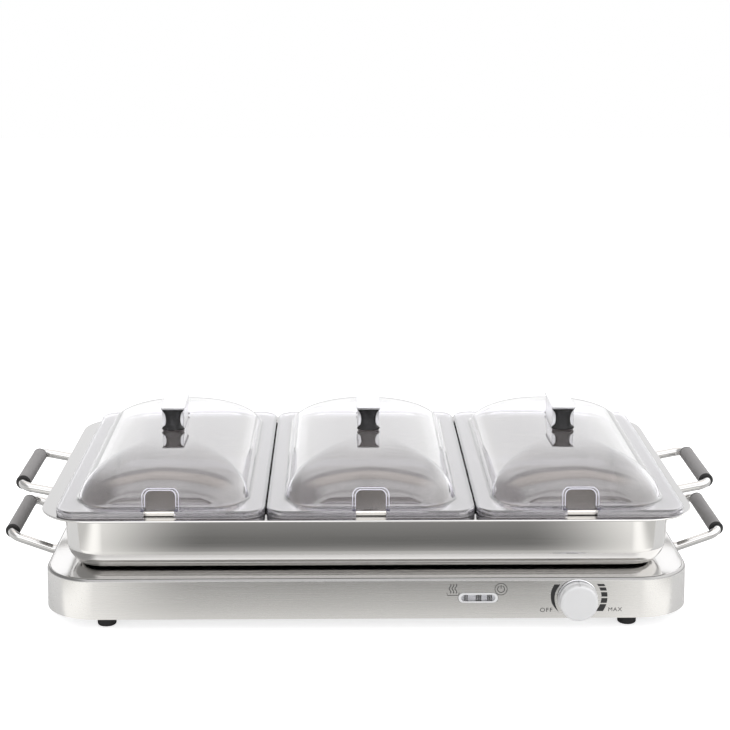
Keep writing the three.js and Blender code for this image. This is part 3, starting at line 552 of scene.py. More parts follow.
base_steel = steel("base_steel", 0.87, 0.26, 0.12, 0.04, top_share=0.4, shades=BASE_PAINTED_SHADES)
tray_steel = steel("tray_steel", 0.87, 0.1, 0.2, 0.03, shades=TRAY_PAINTED_SHADES)
pan_steel = steel("pan_steel", 0.93, 0.22, 0.25, 0.02, PAN_TINT)
bar_steel = steel("bar_steel", 0.8, 0.16, 0.2, 0.02)
plain_steel = steel("plain_steel", 0.8, 0.36, 0.15, 0.2, BRIGHT_TINT)
chrome = steel("chrome", 0.89, 0.07, 0.3, 0.04, BRIGHT_TINT)
handle_silver = plastic("handle_silver", (0.94, 0.94, 0.95), 0.12, 900, 0.03, 0.006, metallic=0.35)
# Pale plastic for the beads round the lids' notches: painted highlights on the notch edges.
painted_highlight_bead = plastic("painted_highlight_bead", (0.93, 0.92, 0.965), 0.1, 900, 0.03, 0.01)
stud_clear = plastic("stud_clear", (0.42, 0.41, 0.47), 0.12, 900, 0.03, 0.02)
satin_silver = plastic("satin_silver", (0.91, 0.91, 0.915), 0.34, 2400, 0.12, 0.006, metallic=0.1)
black_rubber = plastic("black_rubber", (0.17, 0.17, 0.175), 0.78, 1500, 0.4, 0.02)
grip_rubber = plastic("grip_rubber", (0.56, 0.55, 0.55), 0.62, 1800, 0.6, 0.035)
# Dark plastic for the rings on the grips' ends: painted shade of the end faces and the gap.
grip_end_painted_shade = plastic("grip_end_painted_shade", (0.16, 0.155, 0.155), 0.5, 1500, 0.2, 0.02)
black_plastic = plastic("black_plastic", (0.07, 0.07, 0.075), 0.16, 900, 0.03, 0.012)
white_plastic = plastic("white_plastic", (0.9, 0.88, 0.83), 0.48, 1500, 0.15, 0.015)
mica_board = plastic("mica_board", (0.74, 0.68, 0.56), 0.66, 600, 0.5, 0.06)
glass_wool = plastic("glass_wool", (0.9, 0.88, 0.8), 0.95, 500, 1.0, 0.06)
wire_sleeve = plastic("wire_sleeve", (0.74, 0.3, 0.22), 0.55, 1500, 0.15, 0.03)
lamp_red = plastic("lamp_red", (0.84, 0.3, 0.2), 0.14, 900, 0.05, 0.03)
ink = plastic("ink", (0.14, 0.14, 0.145), 0.6, 2500, 0.1, 0.02)
window_white = plastic("window_white", (0.94, 0.94, 0.945), 0.12, 900, 0.03, 0.01)
window_clear = clear_plastic("window_clear", (0.97, 0.97, 0.98), 0.06)
lid_clear = lid_plastic("lid_clear", (0.982, 0.974, 0.998), 0.02, LID_RIM_TOP)

SLOT_MATERIALS = {
    "brushed_steel": base_steel, "polished_steel": bar_steel, "plain_steel": plain_steel,
    "bright_trim": chrome, "black_rubber": black_rubber, "grip_rubber": grip_rubber,
    "black_plastic": black_plastic, "silver_plastic": satin_silver, "white_plastic": white_plastic,
    "mica_board": mica_board, "glass_wool": glass_wool, "wire_sleeve": wire_sleeve,
    "clear_plastic": window_clear, "lamp_red": lamp_red,
}

for part in frame["record"]["subparts"]:
    cad_mesh = frame["nodes"][part["node"]].data
    cad_mesh.materials.clear()
    cad_mesh.materials.append(SLOT_MATERIALS[part["material_slot"]])


# Base housing

BASE_FLARE = 0.7
BASE_CORNER = 45
BASE_EDGE = 3
SHEET = 1
SHAFT_HOLE = 5.3
WINDOW_HOLE = (17, 4.55)
GLAND_HOLE = 6.3
HOLE_DEPTH = 6


def base_half_at(z, inset=0):
    rise = (z - BASE_LOW) / (BASE_TOP - BASE_LOW)
    return [half - BASE_FLARE * rise - inset for half in BASE_HALF]


def base_rings(inset, edge, top):
    corner = BASE_CORNER - inset
    wall_top = top - edge
    rings = []
    for share in (0, 0.5, 1):
        z = BASE_LOW + (wall_top - BASE_LOW) * share
        rings.append(rounded_ring(*base_half_at(z, inset), corner, z))
    for way_in, drop in rounding(edge)[1:]:
        half = [value - way_in for value in base_half_at(wall_top, inset)]
        rings.append(rounded_ring(*half, corner - way_in, top - drop))
    return rings


def add_base():
    inner = base_rings(SHEET, BASE_EDGE - SHEET, BASE_TOP - SHEET)
    shell = loft(inner[::-1] + base_rings(0, BASE_EDGE, BASE_TOP))
    start, end = BASE_HALF[1] - HOLE_DEPTH, BASE_HALF[1] + OVERRUN
    cuts = [
        moved(rod(SHAFT_HOLE, start, end, "front"), KNOB_X, 0, KNOB_Z),
        moved(extruded(stadium(*WINDOW_HOLE), (-end, -start)), WINDOW_X, 0, WINDOW_Z),
        moved(rod(GLAND_HOLE, start, end, "back"), GLAND_X, 0, GLAND_Z),
    ]
    piece("base_shell", shell, base_steel, "base", "base_housing", cuts)


# Tray

TRAY_BODY_INSET = 17.5
TRAY_BODY = [half - TRAY_BODY_INSET for half in FLANGE_HALF]
TRAY_BODY_CORNER = 36
TRAY_TAPER = 2
TRAY_NECK = 1.6
TRAY_LIP = 2.2
TRAY_LIP_RUN = 1.2
FLANGE_CORNER = 45
FLANGE_CURL = 1.9
FLANGE_CURL_WIDTH = 2.8
CURL_FILLET = 0.4
CURL_BEVEL = 0.3

# The tray's wall from the top of its bend down to the flat bottom: lean in degrees and height above it
TRAY_BENDS = ((3.2, 18.6), (15, 14.8), (24, 10.4), (50, 3.0), (90, 0))


def tray_wall(inset, bottom, steps=5):
    """Outsets and heights from the flat bottom up to where the wall runs straight."""
    height = TRAY_BENDS[0][1]
    out = -TRAY_TAPER * (TRAY_TOP - TRAY_LOW - height) / (TRAY_TOP - TRAY_LOW)
    rows = []
    for (lean, height), (next_lean, next_height) in zip(TRAY_BENDS, TRAY_BENDS[1:]):
        start, end = math.radians(lean), math.radians(next_lean)
        radius = (height - next_height) / (math.sin(end) - math.sin(start))
        for step in range(steps + 1):
            angle = start + (end - start) * step / steps
            level = height - radius * (math.sin(angle) - math.sin(start))
            rows.append((
                out - radius * (math.cos(start) - math.cos(angle)) - inset * math.cos(angle),
                bottom + level - inset * (1 - math.sin(angle)),
            ))
        out -= radius * (math.cos(start) - math.cos(end))
        if next_height:
            rows.pop()
    return rows[::-1]


def add_tray():
    under = TRAY_TOP - SHEET
    curl_low = TRAY_TOP - FLANGE_CURL
    curl_in = TRAY_BODY_INSET - FLANGE_CURL_WIDTH
    radius = FLANGE_CURL / 2
    rows = tray_wall(0, TRAY_LOW)
    rows += [(way_in, under - drop) for way_in, drop in rounding(TRAY_NECK)]
    rows += [(curl_in - CURL_FILLET, under), (curl_in, under - CURL_BEVEL)]
    rows += [(curl_in, curl_low + CURL_BEVEL), (curl_in + CURL_BEVEL, curl_low)]
    for step in range(2 * ROUND_STEPS + 1):
        angle = QUARTER * (step / ROUND_STEPS - 1)
        outset = TRAY_BODY_INSET - radius + radius * math.cos(angle)
        rows.append((outset, curl_low + radius + radius * math.sin(angle)))
    rows.append((TRAY_LIP + TRAY_LIP_RUN, TRAY_TOP))
    rows += [(way_in - SHEET, TRAY_TOP - drop) for way_in, drop in reversed(rounding(TRAY_LIP))]
    rows += reversed(tray_wall(SHEET, TRAY_LOW + SHEET))
    rings = drawn_rings(rows, TRAY_BODY, TRAY_BODY_INSET, TRAY_BODY_CORNER, FLANGE_CORNER)
    piece("tray_tub", loft(rings), tray_steel, "tray", "tray_shell")


# Pans

PAN_BODY_HALF = (76, 146)
PAN_CORNER = 26
PAN_SHEET = 0.8
PAN_TAPER = 3
PAN_BOTTOM_ROUND = 10
PAN_BOTTOM_STEPS = 8
PAN_RIM_CORNER = 14.2
PAN_RIM_ROUND = 1.4
PAN_LIP_ROUND = 2
PAN_CURL = 3.9
PAN_CURL_WIDTH = 2.6

# Ways out and down: from the body's outline to the rim's underside, into its curl, and round the edge
PAN_NECK = ((-0.3, 1.2), (0, 0.5), (0.5, 0))
PAN_FILLET = ((-0.5, 0), (0, 0.4))
PAN_EDGE = ((-PAN_SHEET, 0), (-0.2, -0.3), (0, -0.8))


def pan_rows(inset):
    """Outsets from the body's outline and heights, from the flat bottom up to the rim."""
    rows = []
    for step in range(PAN_BOTTOM_STEPS + 1):
        angle = QUARTER * (1 - step / PAN_BOTTOM_STEPS)
        rows.append((
            -PAN_TAPER - PAN_BOTTOM_ROUND * (1 - math.cos(angle)) - inset * math.cos(angle),
            PAN_LOW + PAN_BOTTOM_ROUND * (1 - math.sin(angle)) + inset * math.sin(angle),
        ))
    return rows


def add_pans():
    out = PAN_RIM_HALF[0] - PAN_BODY_HALF[0]
    under = PAN_TOP - PAN_SHEET
    curl_low = PAN_TOP - PAN_CURL
    curl_in = out - PAN_CURL_WIDTH
    rows = pan_rows(0)
    rows += [(outset, under - drop) for outset, drop in PAN_NECK]
    rows += [(curl_in + outset, under - drop) for outset, drop in PAN_FILLET]
    rows += [(curl_in, curl_low)] + [(out + outset, curl_low - drop) for outset, drop in PAN_EDGE]
    rows += [(out - way_in, PAN_TOP - drop) for way_in, drop in rounding(PAN_RIM_ROUND)]
    rows += [(way_in - PAN_SHEET, PAN_TOP - drop) for way_in, drop in reversed(rounding(PAN_LIP_ROUND))]
    rows += reversed(pan_rows(PAN_SHEET))
    shape = loft(drawn_rings(rows, PAN_BODY_HALF, out, PAN_CORNER, PAN_RIM_CORNER))
    first = outwards(make_object("pan_left_drawn", shape, pan_steel))
    set_out(first, "pan_{}_drawn", "pan_{}", "pan_{}")


# Lids

LID_BEVEL = 0.8
LID_FOOT_BEVELS = (0.4, 0.6)
DOME_INSET = (15.5, 14)
DOME_HEIGHT = 33.6
DOME_CORNER = 28
DOME_POWERS = (2, 3)
DOME_ROUND_SHARE = 0.96
DOME_FOOT_ROUND = 2.6
DOME_FOOT_STEPS = 5
DOME_INNER_FOOT = 1.2
DOME_LEVELS = 30
DOME_INNER_LEVELS = 22
CROWN_START_SHARE = 0.9
CROWN_SHARE = 0.97
CROWN_END_SHARE = 0.965
SCREW_HOLE = 2.3
NOTCH_HALF = 12.5
NOTCH_HEIGHT = 19.5
NOTCH_TOP = LID_LOW + NOTCH_HEIGHT
NOTCH_ROUND = 4.5
NOTCH_OVERRUN = 2
LIP_WALL = 3.2
LIP_TOP_WALL = 2.2
LIP_STAND = 2.4
LIP_REACH = 12
LIP_RISE = 1.2
BEAD_RADIUS = 0.5
BEAD_SIDES = 10
OUTER_BEAD_ROUND = NOTCH_ROUND + 1
STUD_RADIUS = 1.6
STUD_RISE = 0.8
STUD_SINK = 1
STUD_SIDES = 20


def dome_ring(share, inset, floor, outset=0, rise=None):
    x, y = (
        (half - way_in - inset) * (1 - share ** power) ** (1 / power)
        for half, way_in, power in zip(LID_HALF, DOME_INSET, DOME_POWERS)
    )
    corner = DOME_CORNER - inset
    radius = min(corner + (x - corner) * share, x * DOME_ROUND_SHARE)
    height = DOME_HEIGHT * share if rise is None else rise
    return rounded_ring(x + outset, y + outset, radius + outset, floor + height)


def crown_height(share):
    """Follows the dome up to where the crown starts and then runs out level."""
    if share <= CROWN_START_SHARE:
        return share
    room = CROWN_SHARE - CROWN_START_SHARE
    return CROWN_START_SHARE + room * math.tanh((share - CROWN_START_SHARE) / room)


def dome_levels(count):
    """Shares that lie closer together towards the crown."""
    return [math.sin(QUARTER * CROWN_END_SHARE * step / count) for step in range(1, count + 1)]


def dome_skin(inset, floor, foot, count):
    """Rings from the rim's flat, round the foot and up to the crown."""
    rings = [
        dome_ring(height / DOME_HEIGHT, inset, floor, outset, height)
        for height, outset in rounding(foot, DOME_FOOT_STEPS)[:-1]
    ]
    for share in dome_levels(count):
        height = DOME_HEIGHT * crown_height(share)
        if height > foot:
            rings.append(dome_ring(share, inset, floor, 0, height))
    return rings


def lid_shell():
    under = LID_RIM_TOP - LID_WALL
    inner_bevel, outer_bevel = LID_FOOT_BEVELS
    rim = [
        (LID_WALL + LID_BEVEL, under), (LID_WALL, under - LID_BEVEL), (LID_WALL, LID_LOW + inner_bevel),
        (LID_WALL - inner_bevel, LID_LOW), (outer_bevel, LID_LOW), (0, LID_LOW + outer_bevel),
    ]
    rim += [(way_in, LID_RIM_TOP - drop) for way_in, drop in rounding(LID_EDGE)]
    rings = dome_skin(LID_WALL, under, DOME_INNER_FOOT, DOME_INNER_LEVELS)[::-1]
    rings += [rounded_ring(*(half - inset for half in LID_HALF), LID_CORNER - inset, z) for inset, z in rim]
    return loft(rings + dome_skin(0, LID_RIM_TOP, DOME_FOOT_ROUND, DOME_LEVELS))


def dome_block(inset, floor):
    """A solid with the dome's shape, let in by an inset and run down past the lid's lower edge."""
    rings = [dome_ring(share, inset, floor) for share in (0, *dome_levels(DOME_INNER_LEVELS))]
    low = [(x, y, LID_LOW - OVERRUN) for x, y, _ in rings[0]]
    return loft([low] + rings)


def notch_bead(way_out, way_up, radius):
    """A bead that runs up the dome's face, over the notch and down again. Its pale plastic paints the
    highlight on the notch's edge.
    """
    depth = LID_HALF[1] - DOME_INSET[1]
    power = DOME_POWERS[1]
    foot, *rest = arch(NOTCH_HALF + way_out, LID_RIM_TOP, NOTCH_TOP + way_up, radius)
    path = []
    for x, z in rest + [foot]:
        share = (z - LID_RIM_TOP) / DOME_HEIGHT
        path.append(Vector((x, -depth * (1 - share ** power) ** (1 / power) - LIP_RISE, z)))
    return tube(path, BEAD_RADIUS, BEAD_SIDES)


def add_notch_trim():
    # Two pale beads, on the inner and the outer edge of the notch's lip, are painted highlights.
    beads = joined(
        notch_bead(BEAD_RADIUS, BEAD_RADIUS, NOTCH_ROUND + BEAD_RADIUS),
        notch_bead(LIP_WALL - BEAD_RADIUS, LIP_TOP_WALL - BEAD_RADIUS, OUTER_BEAD_ROUND),
    )
    stud = rod(STUD_RADIUS, LID_RIM_TOP - STUD_SINK, LID_RIM_TOP + STUD_RISE, "z", STUD_SIDES)
    stud_x = NOTCH_HALF + LIP_WALL / 2
    stud_y = STUD_RADIUS + LID_EDGE - LID_HALF[1]
    studs = joined(*(moved(stud, sign * stud_x, stud_y) for _, sign in SIDES))
    for name in LIDS:
        body = f"lid_{name}"
        piece(f"{body}_notch_highlight_beads", moved(beads, LID_X[name]), painted_highlight_bead, body)
        piece(f"{body}_notch_studs", moved(studs, LID_X[name]), stud_clear, body)


def add_lids():
    made = outwards(make_object("lid_left_clear", lid_shell(), lid_clear))
    front = DOME_INSET[1] - LID_HALF[1]
    back = front + LIP_REACH
    low, high = LID_RIM_TOP - LID_WALL / 2, NOTCH_TOP + LIP_TOP_WALL
    outline = arch(NOTCH_HALF + LIP_WALL, low, high, NOTCH_ROUND + LIP_TOP_WALL)
    lip = outwards(make_object("lip", extruded(outline, (front - LIP_STAND, back))))
    cut(lip, dome_block(-LIP_RISE, LID_RIM_TOP), "INTERSECT")
    cut(lip, dome_block(LID_WALL, LID_RIM_TOP - LID_WALL))
    boolean(made, lip, "UNION")
    hole = arch(NOTCH_HALF, LID_LOW - NOTCH_OVERRUN, NOTCH_TOP, NOTCH_ROUND)
    cut(made, extruded(hole, (-LID_HALF[1] - OVERRUN, back + NOTCH_OVERRUN)))
    cut(made, rod(SCREW_HOLE, LID_RIM_TOP, LID_SEAT + OVERRUN, "z"))
    set_out(made, "lid_{}_clear", "lid_{}", "lid_dome_{}")
    add_notch_trim()


# Lid handles

HANDLE_LOW = box_mm("lid_handle_core_middle")[0][2]
HANDLE_HIGH = box_mm("lid_handle_cover_middle")[1][2]
HANDLE_HALF_WIDTH = half_of("lid_handle_cover_middle")[0]
HANDLE_HALF_LENGTH = half_of("lid_handle_core_middle")[1]
CAP_THICKNESS = 3
CAP_SETBACK = 0.2
CAP_BULGE = 2.5
CAP_POWER = 2.5
CAP_STEPS = 12
CORE_SETBACK = 1
COVER_BEVEL = 0.4
PLATE_BEVEL = 0.5
PLATE_ROUND = 0.9
PLATE_END_ROUND = 1.2

# Shares of the handle's half width and of its height
CAP_SHARES = (
    (0.74, 0), (0.93, 0.035), (0.96, 0.075), (0.86, 0.13), (0.7, 0.2), (0.63, 0.32),
    (0.61, 0.47), (0.66, 0.63), (0.78, 0.76), (0.97, 0.86),
)
CORE_SHARES = ((0.4, 0), (0.4, 0.9))
COVER_SHARES = ((0.86, 0), (0.9, 0.03), (0.9, 0.5), (0.9, 0.9), (1, 0.94))
PLATE_SHARE = 0.87


def handle_height(share):
    return HANDLE_LOW + (HANDLE_HIGH - HANDLE_LOW) * share


def handle_outline(shares):
    side = [(HANDLE_HALF_WIDTH * width, handle_height(height)) for width, height in shares]
    return side + [(-x, z) for x, z in reversed(side)]


def plate_outline():
    """The section of the handle's top plate, with round upper edges."""
    half = HANDLE_HALF_WIDTH
    low = handle_height(PLATE_SHARE)
    edge = low + PLATE_BEVEL
    upper = arch(half, low, HANDLE_HIGH, PLATE_ROUND, 4)[2:]
    return [(PLATE_BEVEL - half, low), (half - PLATE_BEVEL, low), (half, edge)] + upper + [(-half, edge)]


def cap_shape(sign):
    """An end of the handle: waisted from the front, and bulging outwards across its width."""
    back = HANDLE_HALF_LENGTH - CAP_THICKNESS
    edge = HANDLE_HALF_LENGTH - CAP_SETBACK - CAP_BULGE
    rings = []
    for share, height_share in eased(CAP_SHARES, 4):
        width = HANDLE_HALF_WIDTH * share
        z = handle_height(height_share)
        ring = [(-width, sign * back, z), (width, sign * back, z)]
        for step in range(CAP_STEPS + 1):
            angle = math.pi * step / CAP_STEPS
            x = width * math.copysign(abs(math.cos(angle)) ** (2 / CAP_POWER), math.cos(angle))
            ring.append((x, sign * (edge + CAP_BULGE * abs(math.sin(angle)) ** (2 / CAP_POWER)), z))
        rings.append(ring)
    return loft(rings)


def add_handles():
    half = HANDLE_HALF_LENGTH
    core_end = half - CORE_SETBACK
    cover_end = half - CAP_THICKNESS - CLEARANCE
    caps = [cap_shape(sign) for _, sign in ENDS]
    core = joined(extruded(handle_outline(CORE_SHARES), (-core_end, core_end)), *caps)
    cover = joined(
        extruded(handle_outline(eased(COVER_SHARES, 3)), (-cover_end, cover_end), COVER_BEVEL),
        extruded(plate_outline(), (-half, half), PLATE_END_ROUND, 6),
    )
    kinds = (("core", core, black_plastic, "black_plastic"), ("cover", cover, handle_silver, "bright_trim"))
    for name in LIDS:
        for kind, shape, material, slot in kinds:
            placed = moved(shape, LID_X[name])
            node = f"lid_handle_{kind}_{name}"
            piece(f"lid_handle_{name}_{kind}", placed, material, f"lid_{name}", node)


# Carry handles

SPAN = 54
BAR_RADIUS = 4
BEND_RADIUS = 10
ARM_RUN = 6
BAR_INSIDE = 10
COLLAR_RADIUS = 6.4
COLLAR_THICKNESS = 1.6
COLLAR_EDGE = 0.5
COLLAR_BEVEL = 0.15
COLLAR_SINK = 0.25
COLLAR_SIDES = 40
GRIP_LENGTH = 88
GRIP_RADIUS = 6.5
GRIP_BORE = 4.2
GRIP_EDGE = 0.6
SLEEVE_RADIUS = GRIP_RADIUS - 0.15
RING_WIDTH = 1.5
RING_EDGE = 0.5


def carry_bar(sign, start_x, run_x, end_x, low_z, end_z):
    arm = [(sign * start_x, low_z), (sign * run_x, low_z), (sign * end_x, end_z)]
    corners = [(x, -SPAN, z) for x, z in arm] + [(x, SPAN, z) for x, z in reversed(arm)]
    return tube(bent_path(corners, BEND_RADIUS), BAR_RADIUS)


def collar(sign, x, y, z):
    edge = ((0, COLLAR_THICKNESS), (0, COLLAR_EDGE), (COLLAR_BEVEL, COLLAR_BEVEL), (COLLAR_EDGE, 0))
    profile = [(0, 0)] + [(COLLAR_RADIUS - inset, COLLAR_THICKNESS - drop) for inset, drop in edge]
    profile.append((0, COLLAR_THICKNESS))
    shape = turned([(radius, height * sign) for radius, height in profile], "x", COLLAR_SIDES)
    return moved(shape, sign * x, y, z)


def sleeve(half, radius, edge):
    profile = [(GRIP_BORE, -half)] + [(radius - drop, way_in - half) for way_in, drop in rounding(edge)]
    return turned(profile + [(r, -h) for r, h in reversed(profile)], "back")


def add_grip(name, at, body, node):
    """A soft sleeve with a darker ring on each end. The rings' dark colour is painted shade for the shaded
    end faces and the gap there.
    """
    shape = moved(sleeve(GRIP_LENGTH / 2 - RING_WIDTH, SLEEVE_RADIUS, GRIP_EDGE), at[0], 0, at[2])
    piece(name, shape, grip_rubber, body, node)
    ring = sleeve(RING_WIDTH / 2, GRIP_RADIUS, RING_EDGE)
    places = [sign * (GRIP_LENGTH - RING_WIDTH) / 2 for _, sign in ENDS]
    rings = joined(*(moved(ring, at[0], y, at[2]) for y in places))
    piece(f"{name}_rings", rings, grip_end_painted_shade, body, None)


def add_carry_handles():
    """The base's bars run in through its wall, and the tray's end on the tray's."""
    walls = (("base", BASE_HALF[0], BAR_INSIDE, COLLAR_SINK), ("tray", TRAY_BODY[0] + CLEARANCE, 0, 0))
    for side, sign in SIDES:
        for body, wall, inside, sink in walls:
            at = middle_of(f"{body}_grip_{side}")
            bar_node = f"{body}_handle_bar_{side}"
            low_z = heights_of(bar_node)[0] + COLLAR_RADIUS
            bar = carry_bar(sign, wall - inside, wall + ARM_RUN, abs(at[0]), low_z, at[2])
            collars = [collar(sign, wall - sink, end * SPAN, low_z) for _, end in ENDS]
            piece(f"{body}_bar_{side}", joined(bar, *collars), bar_steel, body, bar_node)
            add_grip(f"{body}_sleeve_{side}", at, body, f"{body}_grip_{side}")


# Knob and the ring behind it

KNOB_BORE = (10, 3.4)
KNOB_BEVEL = 0.3
KNOB_ROUND = 2.4
KNOB_STEPS = ((0, 0.3), (0.7, 0.34), (0.7, 0.4), (0.1, 0.44))
POINTER_HALF = 0.7
POINTER_DEPTH = 0.7
POINTER_OVERRUN = 2
BEZEL_ROUND_SHARE = 0.6
BEZEL_FACE = (1.4, 1.8)
BEZEL_DISH = 0.35


def front_sizes(node):
    """Radius, depth and the back's place of a round piece on the front wall."""
    low, high = box_mm(node)
    return half_of(node)[0], high[1] - low[1], high[1] - ROW_SHIFT


def add_knob():
    radius, depth, back = front_sizes("knob_cap")
    bore, floor = KNOB_BORE
    profile = [(0, floor), (bore, floor), (bore, 0), (radius - KNOB_BEVEL, 0), (radius, KNOB_BEVEL)]
    profile += [(radius - inset, depth * share) for inset, share in KNOB_STEPS]
    profile += [(radius - way_in, depth - drop) for way_in, drop in rounding(KNOB_ROUND)]
    profile += [(radius / 2, depth), (0, depth)]
    shape = moved(turned(profile, "front", KNOB_SIDES), KNOB_X, back, KNOB_Z)
    low, high = radius - POINTER_DEPTH, radius + POINTER_OVERRUN
    pointer = [(POINTER_HALF, low), (POINTER_HALF, high), (-POINTER_HALF, high), (-POINTER_HALF, low)]
    ends = (back - depth - POINTER_OVERRUN, back + POINTER_OVERRUN)
    slot = moved(extruded(pointer, ends), KNOB_X, 0, KNOB_Z)
    piece("knob_dial", shape, satin_silver, "control_knob", "knob_cap", [slot])


def add_bezel():
    radius, depth, back = front_sizes("knob_bezel")
    edge = depth * BEZEL_ROUND_SHARE
    profile = [(SHAFT_HOLE, 0), (radius, 0), (radius, depth - edge)]
    profile += [(radius - way_in, depth - way_in_top) for way_in, way_in_top in rounding(edge)]
    profile += [(radius - inset, depth - drop) for inset, drop in zip(BEZEL_FACE, (0, BEZEL_DISH))]
    profile.append((SHAFT_HOLE, depth - BEZEL_DISH))
    shape = moved(turned(profile, "front", KNOB_SIDES), KNOB_X, back, KNOB_Z)
    piece("bezel_ring", shape, chrome, "base", "knob_bezel")


# Feet and gland

FOOT_BORE = 2.3
FOOT_EDGE = 1.6
FOOT_RECESS = ((4.8, 0), (4.6, 0.3), (4.6, 3.5))
GLAND_BORE = 3.7
GLAND_NECK = 6
GLAND_OUTSIDE = 9.4
GLAND_FLANGE = ((8.1, 0), (8.5, 0.4), (8.5, 1.9), (8, 2.4), (6.2, 2.4))
GLAND_TIP = 4.8
RIDGES = 3
RIDGE_START = 3
RIDGE_PITCH = 1.9
RIDGE_TAPER = 0.35
RIDGE_STEPS = ((0.5, 0), (0.5, 0.5), (0, 0.8), (0, 1.4))


def add_feet():
    for end, _ in ENDS:
        for side, _ in SIDES:
            node = f"foot_{end}_{side}"
            low, high = heights_of(node)
            x, y, _ = middle_of(node)
            height = high - low
            radius = half_of(node)[0]
            profile = [(FOOT_BORE, height), (radius, height)]
            profile += [(radius - way_in, drop) for way_in, drop in rounding(FOOT_EDGE)]
            profile += [*FOOT_RECESS, (FOOT_BORE, FOOT_RECESS[-1][1])]
            shape = moved(turned(profile), x, y - ROW_SHIFT, low)
            piece(f"rubber_{node}", shape, black_rubber, "base", node)


def add_gland():
    start, tip = (corner[1] - ROW_SHIFT for corner in box_mm("cord_gland"))
    wall = tip - GLAND_OUTSIDE
    profile = [(GLAND_BORE, start), (GLAND_NECK, start), (GLAND_NECK, wall)]
    profile += [(radius, wall + way) for radius, way in GLAND_FLANGE]
    for ridge in range(RIDGES):
        at = wall + RIDGE_START + ridge * RIDGE_PITCH
        size = GLAND_NECK - ridge * RIDGE_TAPER
        profile += [(size - inset, at + way) for inset, way in RIDGE_STEPS]
    profile += [(GLAND_TIP, tip), (GLAND_BORE, tip)]
    shape = moved(turned(profile, "back"), GLAND_X, 0, GLAND_Z)
    piece("gland_sleeve", shape, black_rubber, "base", "cord_gland")


# Indicator window: a bright frame round a ribbed lens, with three dark lamp cells behind it

WINDOW_HALF = (16.7, 4.25)
WINDOW_BORDER = 1.3
BORDER_END_SHARE = 1.9
RIB_PITCH = 1.3
RIB_RELIEF = 0.16
RIB_STEPS = 6
LENS_END_SHARE = 0.995
LENS_LEAST = 0.05

# Ways in from the frame's outer and inner outline, and back from its front
FRAME_OUTER = ((0, 2.2), (0, 0.4), (0.12, 0.12), (0.45, 0))
FRAME_INNER = ((-0.3, 0), (0, 0.3), (0, 2.2))

# Start and end behind the front, and the gap round the edge
LENS_PLACE = (0.5, 1.6, 0.1)
PLATE_PLACE = (2.0, 2.6, 0.15)
CELL_PLACE = (1.7, 2.05)

# Place along the window, width and height
LAMP_CELLS = ((-10.3, 3.6, 5.0), (0.5, 5.0, 5.4), (9.6, 4.4, 5.0))
CELL_BARS = 3
CELL_BAR_SHARE = 0.4
CELL_ROUND = 0.3


def ribbed_lens(outline, front, back):
    """A stadium plate with upright ribs across its front."""
    right = max(x for x, _ in outline)
    top = max(z for _, z in outline)
    rings = []
    count = int(2 * right / RIB_PITCH) * RIB_STEPS
    for i in range(count + 1):
        x = right * LENS_END_SHARE * (2 * i / count - 1)
        past = max(abs(x) - (right - top), 0)
        height = math.sqrt(max(top * top - past * past, LENS_LEAST))
        face = front + RIB_RELIEF * (1 + math.cos(2 * math.pi * x / RIB_PITCH)) / 2
        rings.append([(x, face, -height), (x, back, -height), (x, back, height), (x, face, height)])
    return loft(rings)


def add_window():
    front = box_mm("lamp_window")[0][1] - ROW_SHIFT
    half, radius = WINDOW_HALF
    outer = stadium(half, radius)
    inner = stadium(half - WINDOW_BORDER * BORDER_END_SHARE, radius - WINDOW_BORDER)

    def add(name, shape, material, node):
        piece(name, moved(shape, WINDOW_X, front, WINDOW_Z), material, "base", node)

    rings = [
        [(x, way, z) for x, z in shrunk(outline, inset)]
        for outline, ways in ((outer, FRAME_OUTER), (inner, FRAME_INNER)) for inset, way in ways
    ]
    add("window_frame", loft(rings, closed=True), window_white, "lamp_window")
    start, end, gap = LENS_PLACE
    add("window_lens", ribbed_lens(shrunk(inner, gap), start, end), window_clear, None)
    start, end, gap = PLATE_PLACE
    add("window_plate", extruded(shrunk(inner, gap), (start, end)), window_white, None)
    cells = []
    for x, width, height in LAMP_CELLS:
        pitch = width / CELL_BARS
        bar = extruded(arch(pitch * CELL_BAR_SHARE, -height / 2, height / 2, CELL_ROUND, 3), CELL_PLACE)
        cells += [moved(bar, x + (i - (CELL_BARS - 1) / 2) * pitch) for i in range(CELL_BARS)]
    add("window_cells", joined(*cells), black_plastic, None)


# Printed marks, a hair proud of the sloping front wall

MARK_STAND = 0.06
MARK_DEPTH = 0.3
DIAL_X = KNOB_X + 1.6
DIAL_Z = WINDOW_Z + 0.1
DIAL_INNER = 18.6
DIAL_OUTER = 23.7
DIAL_BANDS = ((9.8, 11.8), (5.9, 8.7), (0.6, 4.5), (-5.0, -0.7), (-12.2, -6.1))
CRESCENT_OUTER = ((-21.3, 11.5), (-23.6, 6.2), (-24.1, 1), (-22.6, -6), (-17.1, -13.1))
CRESCENT_INNER = ((-17.1, -13.1), (-19.8, -7), (-20.9, 0), (-19.6, 6), (-16.3, 11.5))
THIN_STROKE = 0.5
STROKE = 0.62
HEAT_X = 71.4
HEAT_HEIGHTS = (33.4, 41.6)
HEAT_TRAY = ((66.2, 33.9), (66.9, 31.6), (76.0, 31.6), (76.7, 33.9))
WAVE_PITCH = 2.45
WAVE_SWAY = 0.75
WAVE_TURNS = 1.35
WAVE_START = 0.4
WAVE_STEPS = 24
POWER_X = 111.8
POWER_Z = 36.9
POWER_RING = (5.1, 0, 359.9, 64)
POWER_ARC = (2.9, 122, 418, 40)
POWER_BAR = (0.6, 3.7)
LETTER_SPACE = 1.15

# Text, its middle, width and height
WORDS = (("OFF", 150.2, 18.4, 10.4, 3.7), ("MAX", 208.4, 18.7, 11.5, 3.4))


